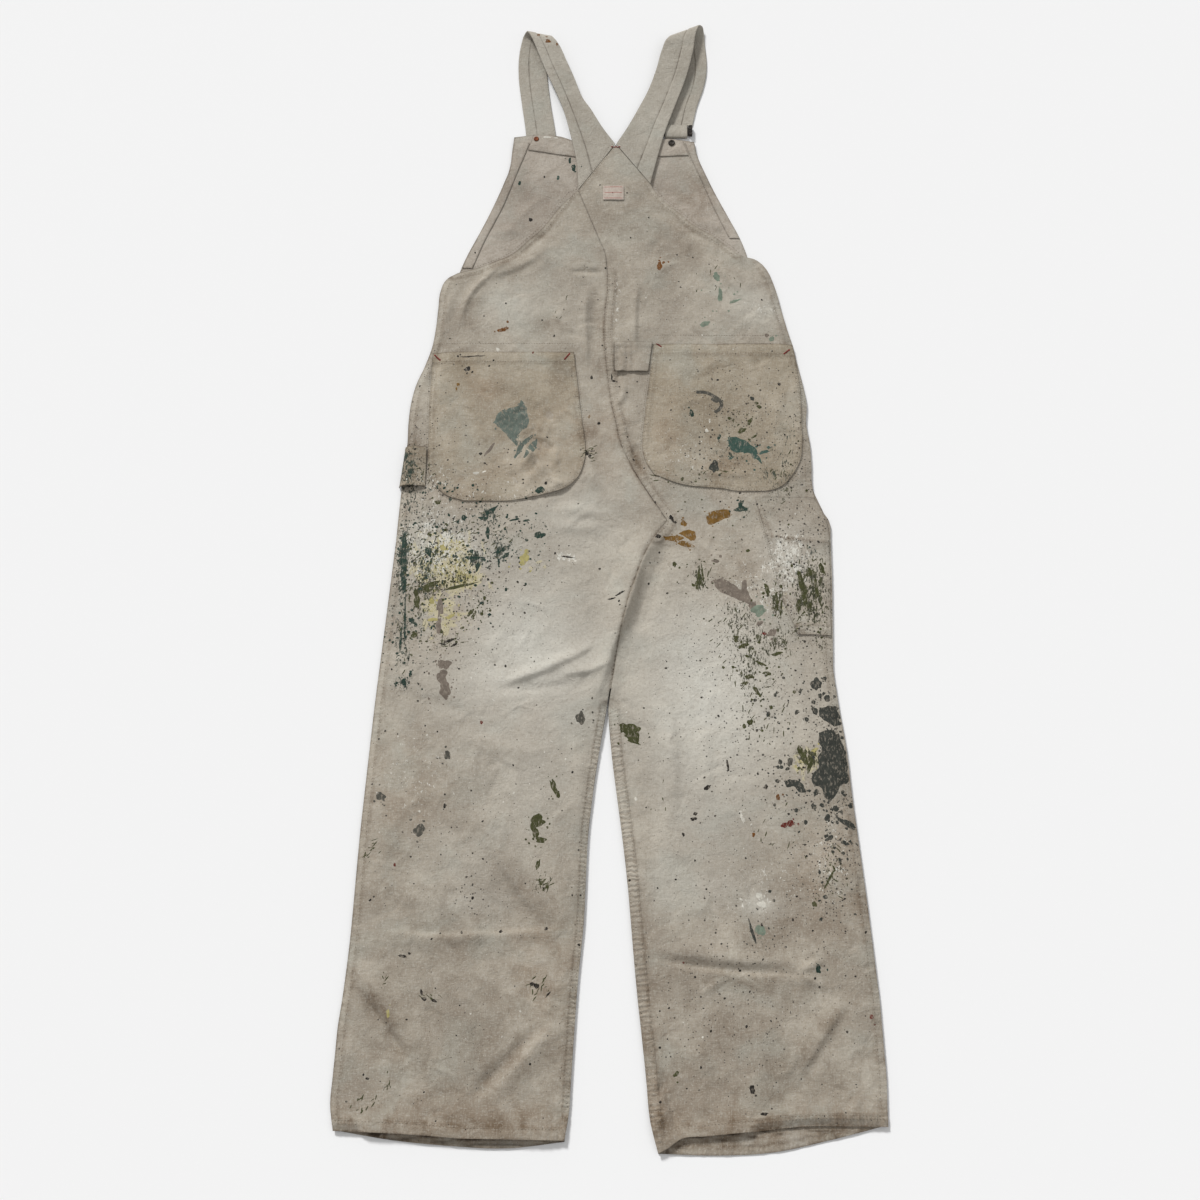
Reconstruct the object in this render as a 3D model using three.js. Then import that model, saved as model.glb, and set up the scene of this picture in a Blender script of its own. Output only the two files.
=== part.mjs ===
// Painter's bib overalls in heavy cotton drill, laid flat on a surface with the back side up.
// Millimetres. +Y runs from the hems to the straps, +X to the wearer's right, and +Z up from the surface.
// "Left" and "right" are the sides of the garment as it is worn. The left side lies towards -X.
import * as THREE from "three";

// ---------- driving dimensions ----------
const WALL = 1.5; // cloth of the legs, bib and straps
const TRIM = 1.1; // pockets, facings and loops, one turned layer of the same drill
const SEAM_GAP = 0.3; // between the pieces at a seam
const SIDE_LIFT = 2.1; // underside of the back cloth at a side seam
const LOFT = 3.3; // how much higher the back cloth lies between its seams
const ROUNDING = 9; // how quickly it rises from a side seam
const WAIST_Y = 306; // bib and front legs are joined here
const CROTCH_Y = -232; // the legs part here
const HEM_Y = -700;
const BIB_LIFT = 2.0; // the top of the bib lies on the strap ends
const BIB_LIFT_FROM = 462;
const BIB_LIFT_TO = 488;
const ARMHOLE_LIFT = 3.4; // the back's armhole edge lies on the bib and its facing
const YOKE_LIFT = 5.3; // the yoke lies on the bib's top facing
const POCKET_REST = 0.45; // what is sewn on a panel stands this far off it

const DRILL = 0xb0a898;
const DRILL_LIGHT = 0xb8b3a4;
const FACING = 0xa89c88;
const PALE_TAPE = 0xd8d0c6;
const BLACK_METAL = 0x1d1c1b;
const RUSTY_METAL = 0x7a3b1c;

// ---------- outlines of the garment, as x for each height y ----------
const LEFT_SIDE = [
  [-293.5, -698], [-298, -671], [-293, -574], [-290, -559], [-285, -495], [-280, -378], [-275, -300],
  [-270, -224], [-262, -126], [-254, -25], [-250, 45], [-245, 108], [-245, 145], [-240, 179], [-230, 204],
  [-220, 235], [-217, 252], [-214, 280], [-213, 309], [-210, 326], [-203, 338], [-193, 341.5],
];
const LEFT_ARMHOLE = [
  [-175, 346], [-150, 356], [-122, 371], [-102, 390], [-82, 411], [-61, 441], [-38, 465],
];
const RIGHT_SIDE = [
  [297, -693], [298, -640], [295, -559], [287, -453], [277, -340], [273, -278], [266, -225], [262, -182],
  [264, -130], [266, -75], [267, 0], [263, 10], [252, 25], [246, 62], [249, 89], [243, 138], [246, 164],
  [237, 209], [232, 237], [222, 276], [212, 324], [203, 350], [195, 359], [179, 367],
];
const RIGHT_ARMHOLE = [
  [165, 371], [148, 387], [130, 401], [110, 414], [94, 430], [80, 442], [66, 455], [55.5, 474],
];
const LEFT_INSEAM = [
  [-49, -708], [-43, -681], [-34, -545], [-27, -474], [-23, -378], [-15, -311], [-2, CROTCH_Y],
];
const RIGHT_INSEAM = [
  [54, -708], [43, -670], [31, -559], [25, -485], [20, -421], [13, -362], [4, -292], [0, CROTCH_Y],
];
const BACK_SEAM = [
  [12, -150], [22, -103], [34, -68], [47, -32], [71, 2], [51, 35], [35, 61], [17, 100], [4, 162], [-1, 207],
  [-5, 252], [-3, 287], [1, 326], [-2, 368], [-20, 417], [-37.6, 466],
];
const NOTCH = [11, 535]; // where the straps part
const BIB_LEFT = [
  [-193, WAIST_Y], [-190, 343], [-178, 374], [-159, 415], [-141, 460], [-127, 498], [-124, 526], [-120, 556],
];
const BIB_RIGHT = [
  [183, WAIST_Y], [179, 368], [168, 402], [148, 444], [131, 483], [118, 516], [112, 552],
];
const BIB_TOP = [
  [548, -120], [552, -106], [551, -66], [541, -46], [530, 11], [546, 76], [541, 112],
];
const TOP_FACING_SEAM = [
  [528, -104], [517, -42], [515, 11], [518, 68], [520, 108],
];
const LEFT_FACING_SEAM = [
  [-173, 350], [-156, 396], [-134, 446], [-119, 489], [-108, 520], [-99, 548],
];
const RIGHT_FACING_SEAM = [
  [166, 373], [139, 436], [123, 479], [106, 524], [100, 545],
];

// The largest folds of the back cloth: a line, how high it stands (or sinks), and its half width.
const FOLDS = [
  { line: [[60, -8], [36, -36], [14, -96], [0, -150], [-8, -220]], height: 5.5, width: 13 },
  { line: [[84, -12], [62, -52], [40, -110], [30, -170]], height: -2.6, width: 13 },
  { line: [[-142, 358], [-172, 318], [-190, 296]], height: 2.6, width: 15 },
  { line: [[136, 352], [168, 318], [190, 292]], height: 2.2, width: 15 },
  { line: [[-22, 330], [-20, 250]], height: -1.6, width: 14 },
  { line: [[36, 330], [34, 262]], height: 2.0, width: 14 },
  { line: [[-134, -208], [-60, -192], [-8, -170]], height: 2.4, width: 14 },
  { line: [[-254, -222], [-160, -250], [-92, -262]], height: -1.4, width: 18 },
  { line: [[-132, -370], [-96, -420], [-62, -468]], height: 2.4, width: 16 },
  { line: [[-246, -480], [-160, -486], [-52, -480]], height: -1.6, width: 18 },
  { line: [[52, -520], [120, -530], [216, -534]], height: 3.2, width: 15 },
  { line: [[70, -234], [76, -330], [72, -400]], height: 1.8, width: 16 },
  { line: [[262, -586], [200, -650]], height: 2.0, width: 16 },
  { line: [[-270, -556], [-236, -600], [-196, -644]], height: 2.2, width: 16 },
  { line: [[-54, -588], [-102, -636]], height: 2.0, width: 16 },
];
const LOOP_HOLLOW = { x: -236, y: 74, depth: 2.2, reachX: 16, reachY: 46 }; // under the hammer loop

// ---------- small geometry helpers ----------
const lerp = (a, b, t) => a + (b - a) * t;
const clamp01 = (t) => Math.min(1, Math.max(0, t));
const smooth = (t) => clamp01(t) ** 2 * (3 - 2 * clamp01(t));

// A curve through [value, at] points in order of rising "at", read off with straight stretches.
function readOff(points) {
  return (at) => {
    let i = 1;
    while (i < points.length - 1 && points[i][1] < at) i++;
    const [v0, a0] = points[i - 1];
    const [v1, a1] = points[i];
    return lerp(v0, v1, clamp01((at - a0) / (a1 - a0)));
  };
}

// How far a point lies from a line through several points.
function distanceToLine(x, y, line) {
  let nearest = Infinity;
  for (let i = 1; i < line.length; i++) {
    const [x0, y0] = line[i - 1];
    const [x1, y1] = line[i];
    const dx = x1 - x0;
    const dy = y1 - y0;
    const t = clamp01(((x - x0) * dx + (y - y0) * dy) / (dx * dx + dy * dy));
    nearest = Math.min(nearest, Math.hypot(x - x0 - t * dx, y - y0 - t * dy));
  }
  return nearest;
}

// Evenly spaced numbers from one value to another, both included.
function steps(from, to, count) {
  return Array.from({ length: count + 1 }, (_, i) => lerp(from, to, i / count));
}

// Fractions from 0 to 1, closer together at both ends, where a panel bends down to its seams.
function acrossPanel(count) {
  return steps(0, 1, count).map((t) => lerp(t, (1 - Math.cos(Math.PI * t)) / 2, 0.75));
}

// A closed wall between two grids of points with the same rows and columns, the upper one on top.
function closedWall(lower, upper) {
  const rows = lower.length;
  const columns = lower[0].length;
  const positions = [...lower.flat(), ...upper.flat()].flat();
  const below = (r, c) => r * columns + c;
  const above = (r, c) => rows * columns + below(r, c);
  const faces = [];
  const quad = (a, b, c, d) => faces.push(a, b, c, a, c, d);
  for (let r = 0; r < rows - 1; r++) {
    for (let c = 0; c < columns - 1; c++) {
      quad(above(r, c), above(r, c + 1), above(r + 1, c + 1), above(r + 1, c));
      quad(below(r, c), below(r + 1, c), below(r + 1, c + 1), below(r, c + 1));
    }
    const last = columns - 1;
    quad(below(r, 0), above(r, 0), above(r + 1, 0), below(r + 1, 0));
    quad(below(r, last), below(r + 1, last), above(r + 1, last), above(r, last));
  }
  for (let c = 0; c < columns - 1; c++) {
    const last = rows - 1;
    quad(below(0, c), below(0, c + 1), above(0, c + 1), above(0, c));
    quad(below(last, c), above(last, c), above(last, c + 1), below(last, c + 1));
  }
  const geometry = new THREE.BufferGeometry();
  geometry.setAttribute("position", new THREE.Float32BufferAttribute(positions, 3));
  geometry.setIndex(faces);
  geometry.computeVertexNormals();
  return geometry;
}

const raised = (grid, by) => grid.map((row) => row.map(([x, y, z]) => [x, y, z + by]));

// The points of a panel: rows at each y from its left edge to its right edge, placed by "bend".
function panelGrid(left, right, rows, across, bend) {
  return rows.map((y) => across.map((t) => bend(lerp(left(y), right(y), t), y)));
}

// How high a grid's surface lies at x, y, or -Infinity beside it.
function heightOn(grid, x, y) {
  let found = -Infinity;
  const triangle = (a, b, c) => {
    const area = (b[0] - a[0]) * (c[1] - a[1]) - (c[0] - a[0]) * (b[1] - a[1]);
    const u = ((b[0] - x) * (c[1] - y) - (c[0] - x) * (b[1] - y)) / area;
    const v = ((c[0] - x) * (a[1] - y) - (a[0] - x) * (c[1] - y)) / area;
    const w = 1 - u - v;
    if (u >= -1e-9 && v >= -1e-9 && w >= -1e-9) {
      found = Math.max(found, u * a[2] + v * b[2] + w * c[2]);
    }
  };
  for (let r = 0; r < grid.length - 1; r++) {
    for (let c = 0; c < grid[r].length - 1; c++) {
      triangle(grid[r][c], grid[r][c + 1], grid[r + 1][c + 1]);
      triangle(grid[r][c], grid[r + 1][c + 1], grid[r + 1][c]);
    }
  }
  return found;
}

// The height at which a piece rests on panels: the highest point within reach of x, y.
function restOn(grids, x, y, reach) {
  let top = -Infinity;
  for (const dx of [-reach, 0, reach]) {
    for (const dy of [-reach, 0, reach]) {
      for (const grid of grids) top = Math.max(top, heightOn(grid, x + dx, y + dy));
    }
  }
  return top + WALL + POCKET_REST;
}

const overalls = new THREE.Group();

function addPiece(name, geometry, color, roughness = 0.92, metalness = 0) {
  const material = new THREE.MeshStandardMaterial({ color, roughness, metalness });
  const mesh = new THREE.Mesh(geometry, material);
  mesh.name = name;
  overalls.add(mesh);
  return mesh;
}

// ---------- the drape of the back ----------
const leftSide = readOff([...LEFT_SIDE, ...LEFT_ARMHOLE]);
const rightSide = readOff([...RIGHT_SIDE, ...RIGHT_ARMHOLE, NOTCH]);
const leftInseam = readOff([...LEFT_INSEAM, ...BACK_SEAM]);
const rightInseam = readOff([...RIGHT_INSEAM, ...BACK_SEAM, NOTCH]);

// Underside of the back cloth. It rounds down to the side seams and inseams, and its folds stand out of it.
function backHeight(x, y) {
  const onLeft = x < leftInseam(y);
  const toSide = onLeft ? x - leftSide(y) : rightSide(y) - x;
  const toInseam = y > CROTCH_Y ? Infinity : onLeft ? leftInseam(y) - x : x - rightInseam(y);
  const edge = Math.max(0, Math.min(toSide, toInseam));
  let height = SIDE_LIFT + LOFT * (1 - Math.exp(-edge / ROUNDING));
  for (const fold of FOLDS) {
    const away = distanceToLine(x, y, fold.line) / fold.width;
    height += fold.height * Math.exp(-away * away) * smooth(edge / 20);
  }
  const hx = (x - LOOP_HOLLOW.x) / LOOP_HOLLOW.reachX;
  const hy = (y - LOOP_HOLLOW.y) / LOOP_HOLLOW.reachY;
  height -= LOOP_HOLLOW.depth * Math.exp(-(hx ** 2) - hy ** 4);
  const onBib = lerp(ARMHOLE_LIFT, YOKE_LIFT, smooth((y - 420) / 60));
  const lift = lerp(SIDE_LIFT, onBib, smooth((y - 318) / 24));
  return Math.max(height, lift);
}

// The hems are not quite level: how far each side's hem lies below or above HEM_Y.
const leftHem = readOff([[2, -293], [-2, -207], [-6, -160], [-8, -49]]);
const rightHem = readOff([[-21, 54], [-6, 77], [2, 165], [7, 208], [6, 297]]);
function atHem(y, hem, x, fadeLength = 90) {
  return y + hem(x) * smooth(1 - (y - HEM_Y) / fadeLength);
}

const LEG_ROWS = steps(HEM_Y, CROTCH_Y, 17);
const SEAT_ROWS = [...steps(CROTCH_Y + 24, 2, 9), ...steps(26, 318, 11), 332];
const SHOULDER_ROWS_LEFT = [341.5, 351, 371, 390, 411, 441, 464.5];
const SHOULDER_ROWS_RIGHT = [344, 359, 371, 387, 401, 414, 430, 446, 466, 474, 492, 512, 534];
const ACROSS_BACK = acrossPanel(11);
const HALF_SEAM = SEAM_GAP / 2;

function backPanel(left, right, hem, shoulderRows) {
  const rows = [...LEG_ROWS, ...SEAT_ROWS, ...shoulderRows];
  return panelGrid(left, right, rows, ACROSS_BACK, (x, y) => [x, atHem(y, hem, x), backHeight(x, y)]);
}

const backLeft = backPanel(leftSide, (y) => leftInseam(y) - HALF_SEAM, leftHem, SHOULDER_ROWS_LEFT);
const backRight = backPanel((y) => rightInseam(y) + HALF_SEAM, rightSide, rightHem, SHOULDER_ROWS_RIGHT);
addPiece("back_left", closedWall(backLeft, raised(backLeft, WALL)), DRILL);
addPiece("back_right", closedWall(backRight, raised(backRight, WALL)), DRILL);

// ---------- the front, flat on the surface ----------
const CENTRE_FRONT = [[2, CROTCH_Y + 12], [2, WAIST_Y]];
const FRONT_INSET = 1.2; // the front keeps just inside the back at the side seams
const frontLeftHem = readOff([[3, -293], [-9, -220], [-17, -121], [-9, -49]]);
const frontRightHem = readOff([[-21, 54], [-24, 150], [-13, 212], [8, 297]]);

function frontPanel(left, right, hem) {
  const rows = [...steps(HEM_Y, CROTCH_Y, 9), ...steps(CROTCH_Y + 40, WAIST_Y - SEAM_GAP, 8)];
  return panelGrid(left, right, rows, steps(0, 1, 4), (x, y) => [x, atHem(y, hem, x, 60), 0]);
}

const frontLeftInner = readOff([...LEFT_INSEAM, ...CENTRE_FRONT]);
const frontRightInner = readOff([...RIGHT_INSEAM, ...CENTRE_FRONT]);
const frontLeft = frontPanel(
  (y) => leftSide(y) + FRONT_INSET, (y) => frontLeftInner(y) - HALF_SEAM, frontLeftHem);
const frontRight = frontPanel(
  (y) => frontRightInner(y) + HALF_SEAM, (y) => rightSide(y) - FRONT_INSET, frontRightHem);
addPiece("front_left", closedWall(frontLeft, raised(frontLeft, WALL)), DRILL);
addPiece("front_right", closedWall(frontRight, raised(frontRight, WALL)), DRILL);

// ---------- the bib and its facings ----------
const bibLeft = readOff(BIB_LEFT);
const bibRight = readOff(BIB_RIGHT);
const bibTop = readOff(BIB_TOP);
const bibHeight = (y) => BIB_LIFT * smooth((y - BIB_LIFT_FROM) / (BIB_LIFT_TO - BIB_LIFT_FROM));
const BIB_ROWS = [...steps(WAIST_Y, 455, 5), 468, 480, 492, 505, 520, 541];
const BIB_BEND_Y = 500; // above this the rows follow the curved top edge

function bibPoint(x, y) {
  const stretch = (bibTop(x) - BIB_BEND_Y) / (BIB_ROWS.at(-1) - BIB_BEND_Y);
  const bentY = y > BIB_BEND_Y ? BIB_BEND_Y + (y - BIB_BEND_Y) * stretch : y;
  return [x, bentY, bibHeight(bentY)];
}

const bib = panelGrid(bibLeft, bibRight, BIB_ROWS, steps(0, 1, 8), bibPoint);
addPiece("bib", closedWall(bib, raised(bib, WALL)), FACING);

// The side facings run along the armhole edges, and the top facing lies between them.
const FACING_EDGE = 0.8; // facings keep this far inside the bib's edge
const FACING_REST = 0.35;
const onBib = (x, y) => [x, y, bibHeight(y) + WALL + FACING_REST];
const leftFacingSeam = readOff(LEFT_FACING_SEAM);
const rightFacingSeam = readOff(RIGHT_FACING_SEAM);
const FACING_ROWS = [352, 396, 420, 446, 460, 468, 480, 488, 500, 520, 539];
const leftFacing = panelGrid(
  (y) => bibLeft(y) + FACING_EDGE, leftFacingSeam, FACING_ROWS, [0, 1], onBib);
const rightFacing = panelGrid(
  rightFacingSeam, (y) => bibRight(y) - FACING_EDGE, FACING_ROWS.slice(1), [0, 1], onBib);
addPiece("bib_side_facing_left", closedWall(leftFacing, raised(leftFacing, TRIM)), FACING);
addPiece("bib_side_facing_right", closedWall(rightFacing, raised(rightFacing, TRIM)), FACING);

const topFacingSeam = readOff(TOP_FACING_SEAM);
const topFacingY = (x, upness) => lerp(topFacingSeam(x), bibTop(x) - FACING_EDGE, upness);
function topFacingRow(upness) {
  const low = leftFacingSeam(topFacingY(-100, upness)) + 2 * FACING_EDGE;
  const high = rightFacingSeam(topFacingY(102, upness)) - 2 * FACING_EDGE;
  return steps(low, high, 9).map((x) => [x, topFacingY(x, upness), BIB_LIFT + WALL + FACING_REST]);
}
const topFacing = [0, 0.5, 1].map(topFacingRow);
addPiece("bib_top_facing", closedWall(topFacing, raised(topFacing, TRIM)), FACING);

// ---------- the straps ----------
// Each station is the strap's outer edge, its inner edge and the height of each above the surface.
const FLAT = WALL / 2; // middle of the cloth where it lies on the surface
const BASE = YOKE_LIFT + WALL / 2;
const STRAP_LEFT = [
  { from: [-37.4, 466.6, BASE], to: [10.4, 535.6, BASE] },
  { from: [-40, 508, 6.6], to: [-7, 562, 6.6] },
  { from: [-48, 548, 7.2], to: [-21, 588, 7] },
  { from: [-58, 588, 8], to: [-34, 610, 7] },
  { from: [-71, 622, 9.5], to: [-43, 636, 7.5] },
  { from: [-85, 656, 11.5], to: [-54, 664, 9] },
  { from: [-96, 686, 13.5], to: [-64, 688, 11] },
  { from: [-103, 703, 13.5], to: [-71, 699, 11] },
  { from: [-108, 711, 9.5], to: [-76, 705, 8] },
  { from: [-112, 708, 4], to: [-80, 702, 3.5] },
  { from: [-115, 697, 1.4], to: [-82, 692, 1.4] },
  { from: [-118, 674, FLAT], to: [-82, 670, FLAT] },
  { from: [-118, 647, FLAT], to: [-80, 645, FLAT] },
  { from: [-113, 602, FLAT], to: [-75, 602, FLAT] },
  { from: [-107, 556, FLAT], to: [-68, 554, FLAT] },
  { from: [-105, 522, FLAT], to: [-66, 522, FLAT] },
];
const STRAP_RIGHT = [
  { from: [11.6, 535.6, BASE], to: [55.6, 474.8, BASE] },
  { from: [27, 562, 6.6], to: [64, 510, 6.6] },
  { from: [41, 590, 7], to: [76, 555, 7] },
  { from: [54, 618, 7.4], to: [90, 596, 7.4] },
  { from: [65, 650, 9], to: [105, 640, 8.5] },
  { from: [73, 680, 11.5], to: [115, 682, 11] },
  { from: [80, 697, 13], to: [120, 711, 12.5] },
  { from: [85, 703, 11], to: [124, 720, 10.5] },
  { from: [88, 705, 6.5], to: [128, 722, 6.5] },
  { from: [91, 700, 2.6], to: [130, 715, 2.8] },
  { from: [93, 684, FLAT], to: [131, 698, FLAT] },
  { from: [94, 664, FLAT], to: [133, 668, FLAT] },
  { from: [93, 645, FLAT], to: [132, 648, FLAT] },
  { from: [88, 622, FLAT], to: [127, 624, FLAT] },
  { from: [80, 598, FLAT], to: [119, 599, FLAT] },
  { from: [74, 567.5, FLAT], to: [112, 567.5, FLAT] },
];

// A band of cloth whose two edges run through the stations, with its wall half on each side.
function band(stations, thickness, across = 2) {
  const at = (s, t) => new THREE.Vector3(...s.from).lerp(new THREE.Vector3(...s.to), t);
  const inner = [];
  const outer = [];
  stations.forEach((station, i) => {
    const before = stations[Math.max(0, i - 1)];
    const after = stations[Math.min(stations.length - 1, i + 1)];
    const width = at(station, 1).sub(at(station, 0));
    const along = at(after, 0.5).sub(at(before, 0.5));
    const normal = width.cross(along).normalize().multiplyScalar(thickness / 2);
    const points = steps(0, 1, across).map((t) => at(station, t));
    inner.push(points.map((p) => p.clone().sub(normal).toArray()));
    outer.push(points.map((p) => p.clone().add(normal).toArray()));
  });
  return closedWall(inner, outer);
}
addPiece("strap_left", band(STRAP_LEFT, WALL), DRILL_LIGHT);
addPiece("strap_right", band(STRAP_RIGHT, WALL), DRILL_LIGHT);

// The right strap's end is turned back round the slider's bar, just above the bib.
const END_BAND = { left: 76, right: 105, top: 566.5, turn: 548, lower: 0.55, upper: 3.9 };
function strapEnd({ left, right, top, turn, lower, upper }) {
  const bend = (upper - lower) / 2;
  const profile = [[top, upper]];
  for (const angle of steps(90, -90, 6)) {
    const a = THREE.MathUtils.degToRad(angle);
    profile.push([turn + bend - bend * Math.cos(a), lower + bend + bend * Math.sin(a)]);
  }
  profile.push([top, lower]);
  return band(profile.reverse().map(([y, z]) => ({ from: [right, y, z], to: [left, y, z] })), TRIM, 1);
}
addPiece("strap_end_right", strapEnd(END_BAND), DRILL_LIGHT);

// ---------- metal: sliders and button backs ----------
// A slider is a flat bar with an upright cheek at each end.
function slider(width, barWidth, barThick, cheekDepth, cheekHeight, cheekThick) {
  const shape = new THREE.Shape();
  const half = width / 2;
  shape.moveTo(-half, 0);
  shape.lineTo(half, 0);
  shape.lineTo(half, cheekHeight);
  shape.lineTo(half - cheekThick, cheekHeight);
  shape.lineTo(half - cheekThick, barThick);
  shape.lineTo(-half + cheekThick, barThick);
  shape.lineTo(-half + cheekThick, cheekHeight);
  shape.lineTo(-half, cheekHeight);
  shape.closePath();
  const depth = Math.max(barWidth, cheekDepth);
  return new THREE.ExtrudeGeometry(shape, { depth, bevelEnabled: false });
}
const SLIDER_WIDTH = 41;
const SLIDER_DEPTH = 15;
const sliderRight = addPiece(
  "slider_right", slider(SLIDER_WIDTH, SLIDER_DEPTH, 1.4, SLIDER_DEPTH, 4.6, 4), BLACK_METAL, 0.45, 0.8);
sliderRight.rotation.x = Math.PI / 2;
sliderRight.position.set(91, 565.5, 1.5);
const sliderLeft = addPiece(
  "slider_left", slider(SLIDER_WIDTH, SLIDER_DEPTH, 1.0, SLIDER_DEPTH, 1.4, 4), BLACK_METAL, 0.45, 0.8);
sliderLeft.rotation.x = Math.PI / 2;
sliderLeft.position.set(-86, 520, 0.1);

// The riveted back of a bib button: a low dome on the facing.
function buttonBack(radius, height) {
  const profile = [new THREE.Vector2(0, 0), new THREE.Vector2(radius, 0), new THREE.Vector2(radius, height * 0.45)];
  for (const angle of steps(20, 90, 4)) {
    const a = THREE.MathUtils.degToRad(angle);
    profile.push(new THREE.Vector2(radius * 0.96 * Math.cos(a), height * (0.45 + 0.55 * Math.sin(a))));
  }
  profile[profile.length - 1].x = 0;
  return new THREE.LatheGeometry(profile, 20);
}
const FACING_TOP = BIB_LIFT + WALL + FACING_REST + TRIM;
function addButton(name, x, y, radius, color) {
  const button = addPiece(name, buttonBack(radius, 1.6), color, 0.6, 0.6);
  button.rotation.x = Math.PI / 2;
  button.position.set(x, y, FACING_TOP + SEAM_GAP);
}
addButton("bib_button_left", -93, 544, 3.4, RUSTY_METAL);
addButton("bib_button_right", 84, 538, 4.4, BLACK_METAL);

// ---------- what is sewn on the back ----------
// A patch laid on panels: its rows follow its own outline, and its points the cloth under them.
function patch(grids, left, right, rows, columns, reach) {
  const place = (x, y) => [x, y, restOn(grids, x, y, reach)];
  return panelGrid(left, right, rows, acrossPanel(columns), place);
}

const POCKET_ROWS_LEFT = [27.5, 30, 36, 46, 60, 84, 108, 132, 156, 180, 204, 228.5];
const POCKET_LEFT_EDGES = {
  left: [[-165, 27], [-178, 28.5], [-197, 36], [-211, 50], [-219, 66], [-219, 104], [-220, 158], [-218, 228]],
  right: [[-128, 27], [-109, 29], [-80, 35], [-52, 43], [-38, 57], [-29, 70], [-27, 100], [-32, 136], [-42, 229]],
};
const pocketLeft = patch(
  [backLeft, backRight], readOff(POCKET_LEFT_EDGES.left), readOff(POCKET_LEFT_EDGES.right), POCKET_ROWS_LEFT, 9, 3);
addPiece("pocket_left", closedWall(pocketLeft, raised(pocketLeft, TRIM)), DRILL);

const POCKET_ROWS_RIGHT = [40.5, 43, 50, 62, 82, 106, 130, 154, 178, 196];
const POCKET_RIGHT_EDGES = {
  left: [[160, 40], [138, 44], [102, 48], [71, 52], [56, 62], [46, 78], [41, 100], [47, 158], [53, 202], [58, 244]],
  right: [[182, 40], [200, 42], [214, 50], [226, 65], [234, 82], [238, 110], [238, 179], [232, 237], [230, 244]],
};
const pocketRight = patch(
  [backRight], readOff(POCKET_RIGHT_EDGES.left), readOff(POCKET_RIGHT_EDGES.right),
  [...POCKET_ROWS_RIGHT, 220, 240], 9, 3);
addPiece("pocket_right", closedWall(pocketRight, raised(pocketRight, TRIM)), DRILL);

// Tool tab: sewn down its top and sides, its lower edge open and wavy.
const TAB = { left: 8, right: 50, bottom: 202, top: 243 };
const tab = patch(
  [backRight], () => TAB.left, (y) => lerp(TAB.right, TAB.right + 6, clamp01((y - 202) / 41)),
  steps(TAB.bottom, TAB.top, 3), 6, 3);
const tabWave = (x, y) => 1.3 * smooth((235 - y) / 30) * (1 + Math.cos((x - TAB.left - 6) / 6));
const wavyTab = tab.map((row) => row.map(([x, y, z]) => [x, y, z + tabWave(x, y)]));
addPiece("centre_tab", closedWall(wavyTab, raised(wavyTab, TRIM)), DRILL);

// Rule pocket on the right thigh, between a slanting inner seam and the side.
const RULE_POCKET_INNER = [[222, -143], [205, -97], [192, -31], [177, 33]];
const rulePocket = patch(
  [backRight], readOff(RULE_POCKET_INNER), (y) => rightSide(y) - 2, steps(-143, 33, 8), 6, 4);
addPiece("rule_pocket", closedWall(rulePocket, raised(rulePocket, TRIM)), DRILL);

// Label place on the yoke.
const LABEL = { left: -6, right: 21, bottom: 450, top: 471 };
const label = patch([backRight], () => LABEL.left, () => LABEL.right, steps(LABEL.bottom, LABEL.top, 2), 3, 3);
addPiece("label", closedWall(label, raised(label, 1)), PALE_TAPE);

// Hammer loop: a band bridging the side seam, open along Y.
const LOOP = { bottom: 47, top: 99, side: -252.6, sideTop: -244.8, inner: -221.5, rise: 10.4 };
function hammerLoop() {
  const profile = [[0, 0.9], [0.02, 4.5], [0.1, 8.2], [0.25, LOOP.rise], [0.72, LOOP.rise], [0.88, 9.4], [1, 7.9]];
  const stations = profile.map(([t, z]) => {
    const place = (y, outer) => [lerp(outer, LOOP.inner, t), y, z];
    return { from: place(LOOP.top, LOOP.sideTop - 3), to: place(LOOP.bottom, LOOP.side) };
  });
  return band(stations, TRIM, 2);
}
addPiece("hammer_loop", hammerLoop(), DRILL);

export default overalls;
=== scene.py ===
"""Paint-spattered bib overalls in cotton drill, laid flat with the back side up.

Listed sizes are in millimetres, in the part's frame: +X to the right, +Y to the straps, +Z up.
Meshes are made in metres. Panels take their outline and form from the CAD nodes that they stand for.
"""
import math

import bpy
import numpy as np
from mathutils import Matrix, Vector
from mathutils.bvhtree import BVHTree
from mathutils.geometry import delaunay_2d_cdt


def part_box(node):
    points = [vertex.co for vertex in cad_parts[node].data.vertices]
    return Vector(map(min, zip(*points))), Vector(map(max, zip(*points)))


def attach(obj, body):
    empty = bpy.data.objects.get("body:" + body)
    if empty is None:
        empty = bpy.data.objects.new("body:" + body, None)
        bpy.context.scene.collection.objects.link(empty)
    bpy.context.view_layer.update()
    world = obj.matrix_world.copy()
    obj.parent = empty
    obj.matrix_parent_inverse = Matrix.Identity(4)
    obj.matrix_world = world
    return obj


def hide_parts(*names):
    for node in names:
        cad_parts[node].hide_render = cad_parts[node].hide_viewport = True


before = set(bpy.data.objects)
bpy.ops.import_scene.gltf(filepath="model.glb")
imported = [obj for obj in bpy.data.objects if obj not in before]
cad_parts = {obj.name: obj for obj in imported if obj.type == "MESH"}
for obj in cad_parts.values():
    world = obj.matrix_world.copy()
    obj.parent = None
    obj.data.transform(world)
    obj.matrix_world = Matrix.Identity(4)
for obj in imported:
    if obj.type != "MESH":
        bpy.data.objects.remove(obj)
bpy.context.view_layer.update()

MM = 0.001
CLOTH = 1.1  # thickness of the drill
TRIM = 0.9  # thickness of what is sewn on
FINE = 2.3  # spacing of the points of the back panels
SIDE_TOP = 2.75  # upper side of the back cloth where it meets the front at a side seam
LOWEST_BACK = 2.6  # the upper side of the back cloth stays above the front legs
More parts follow.
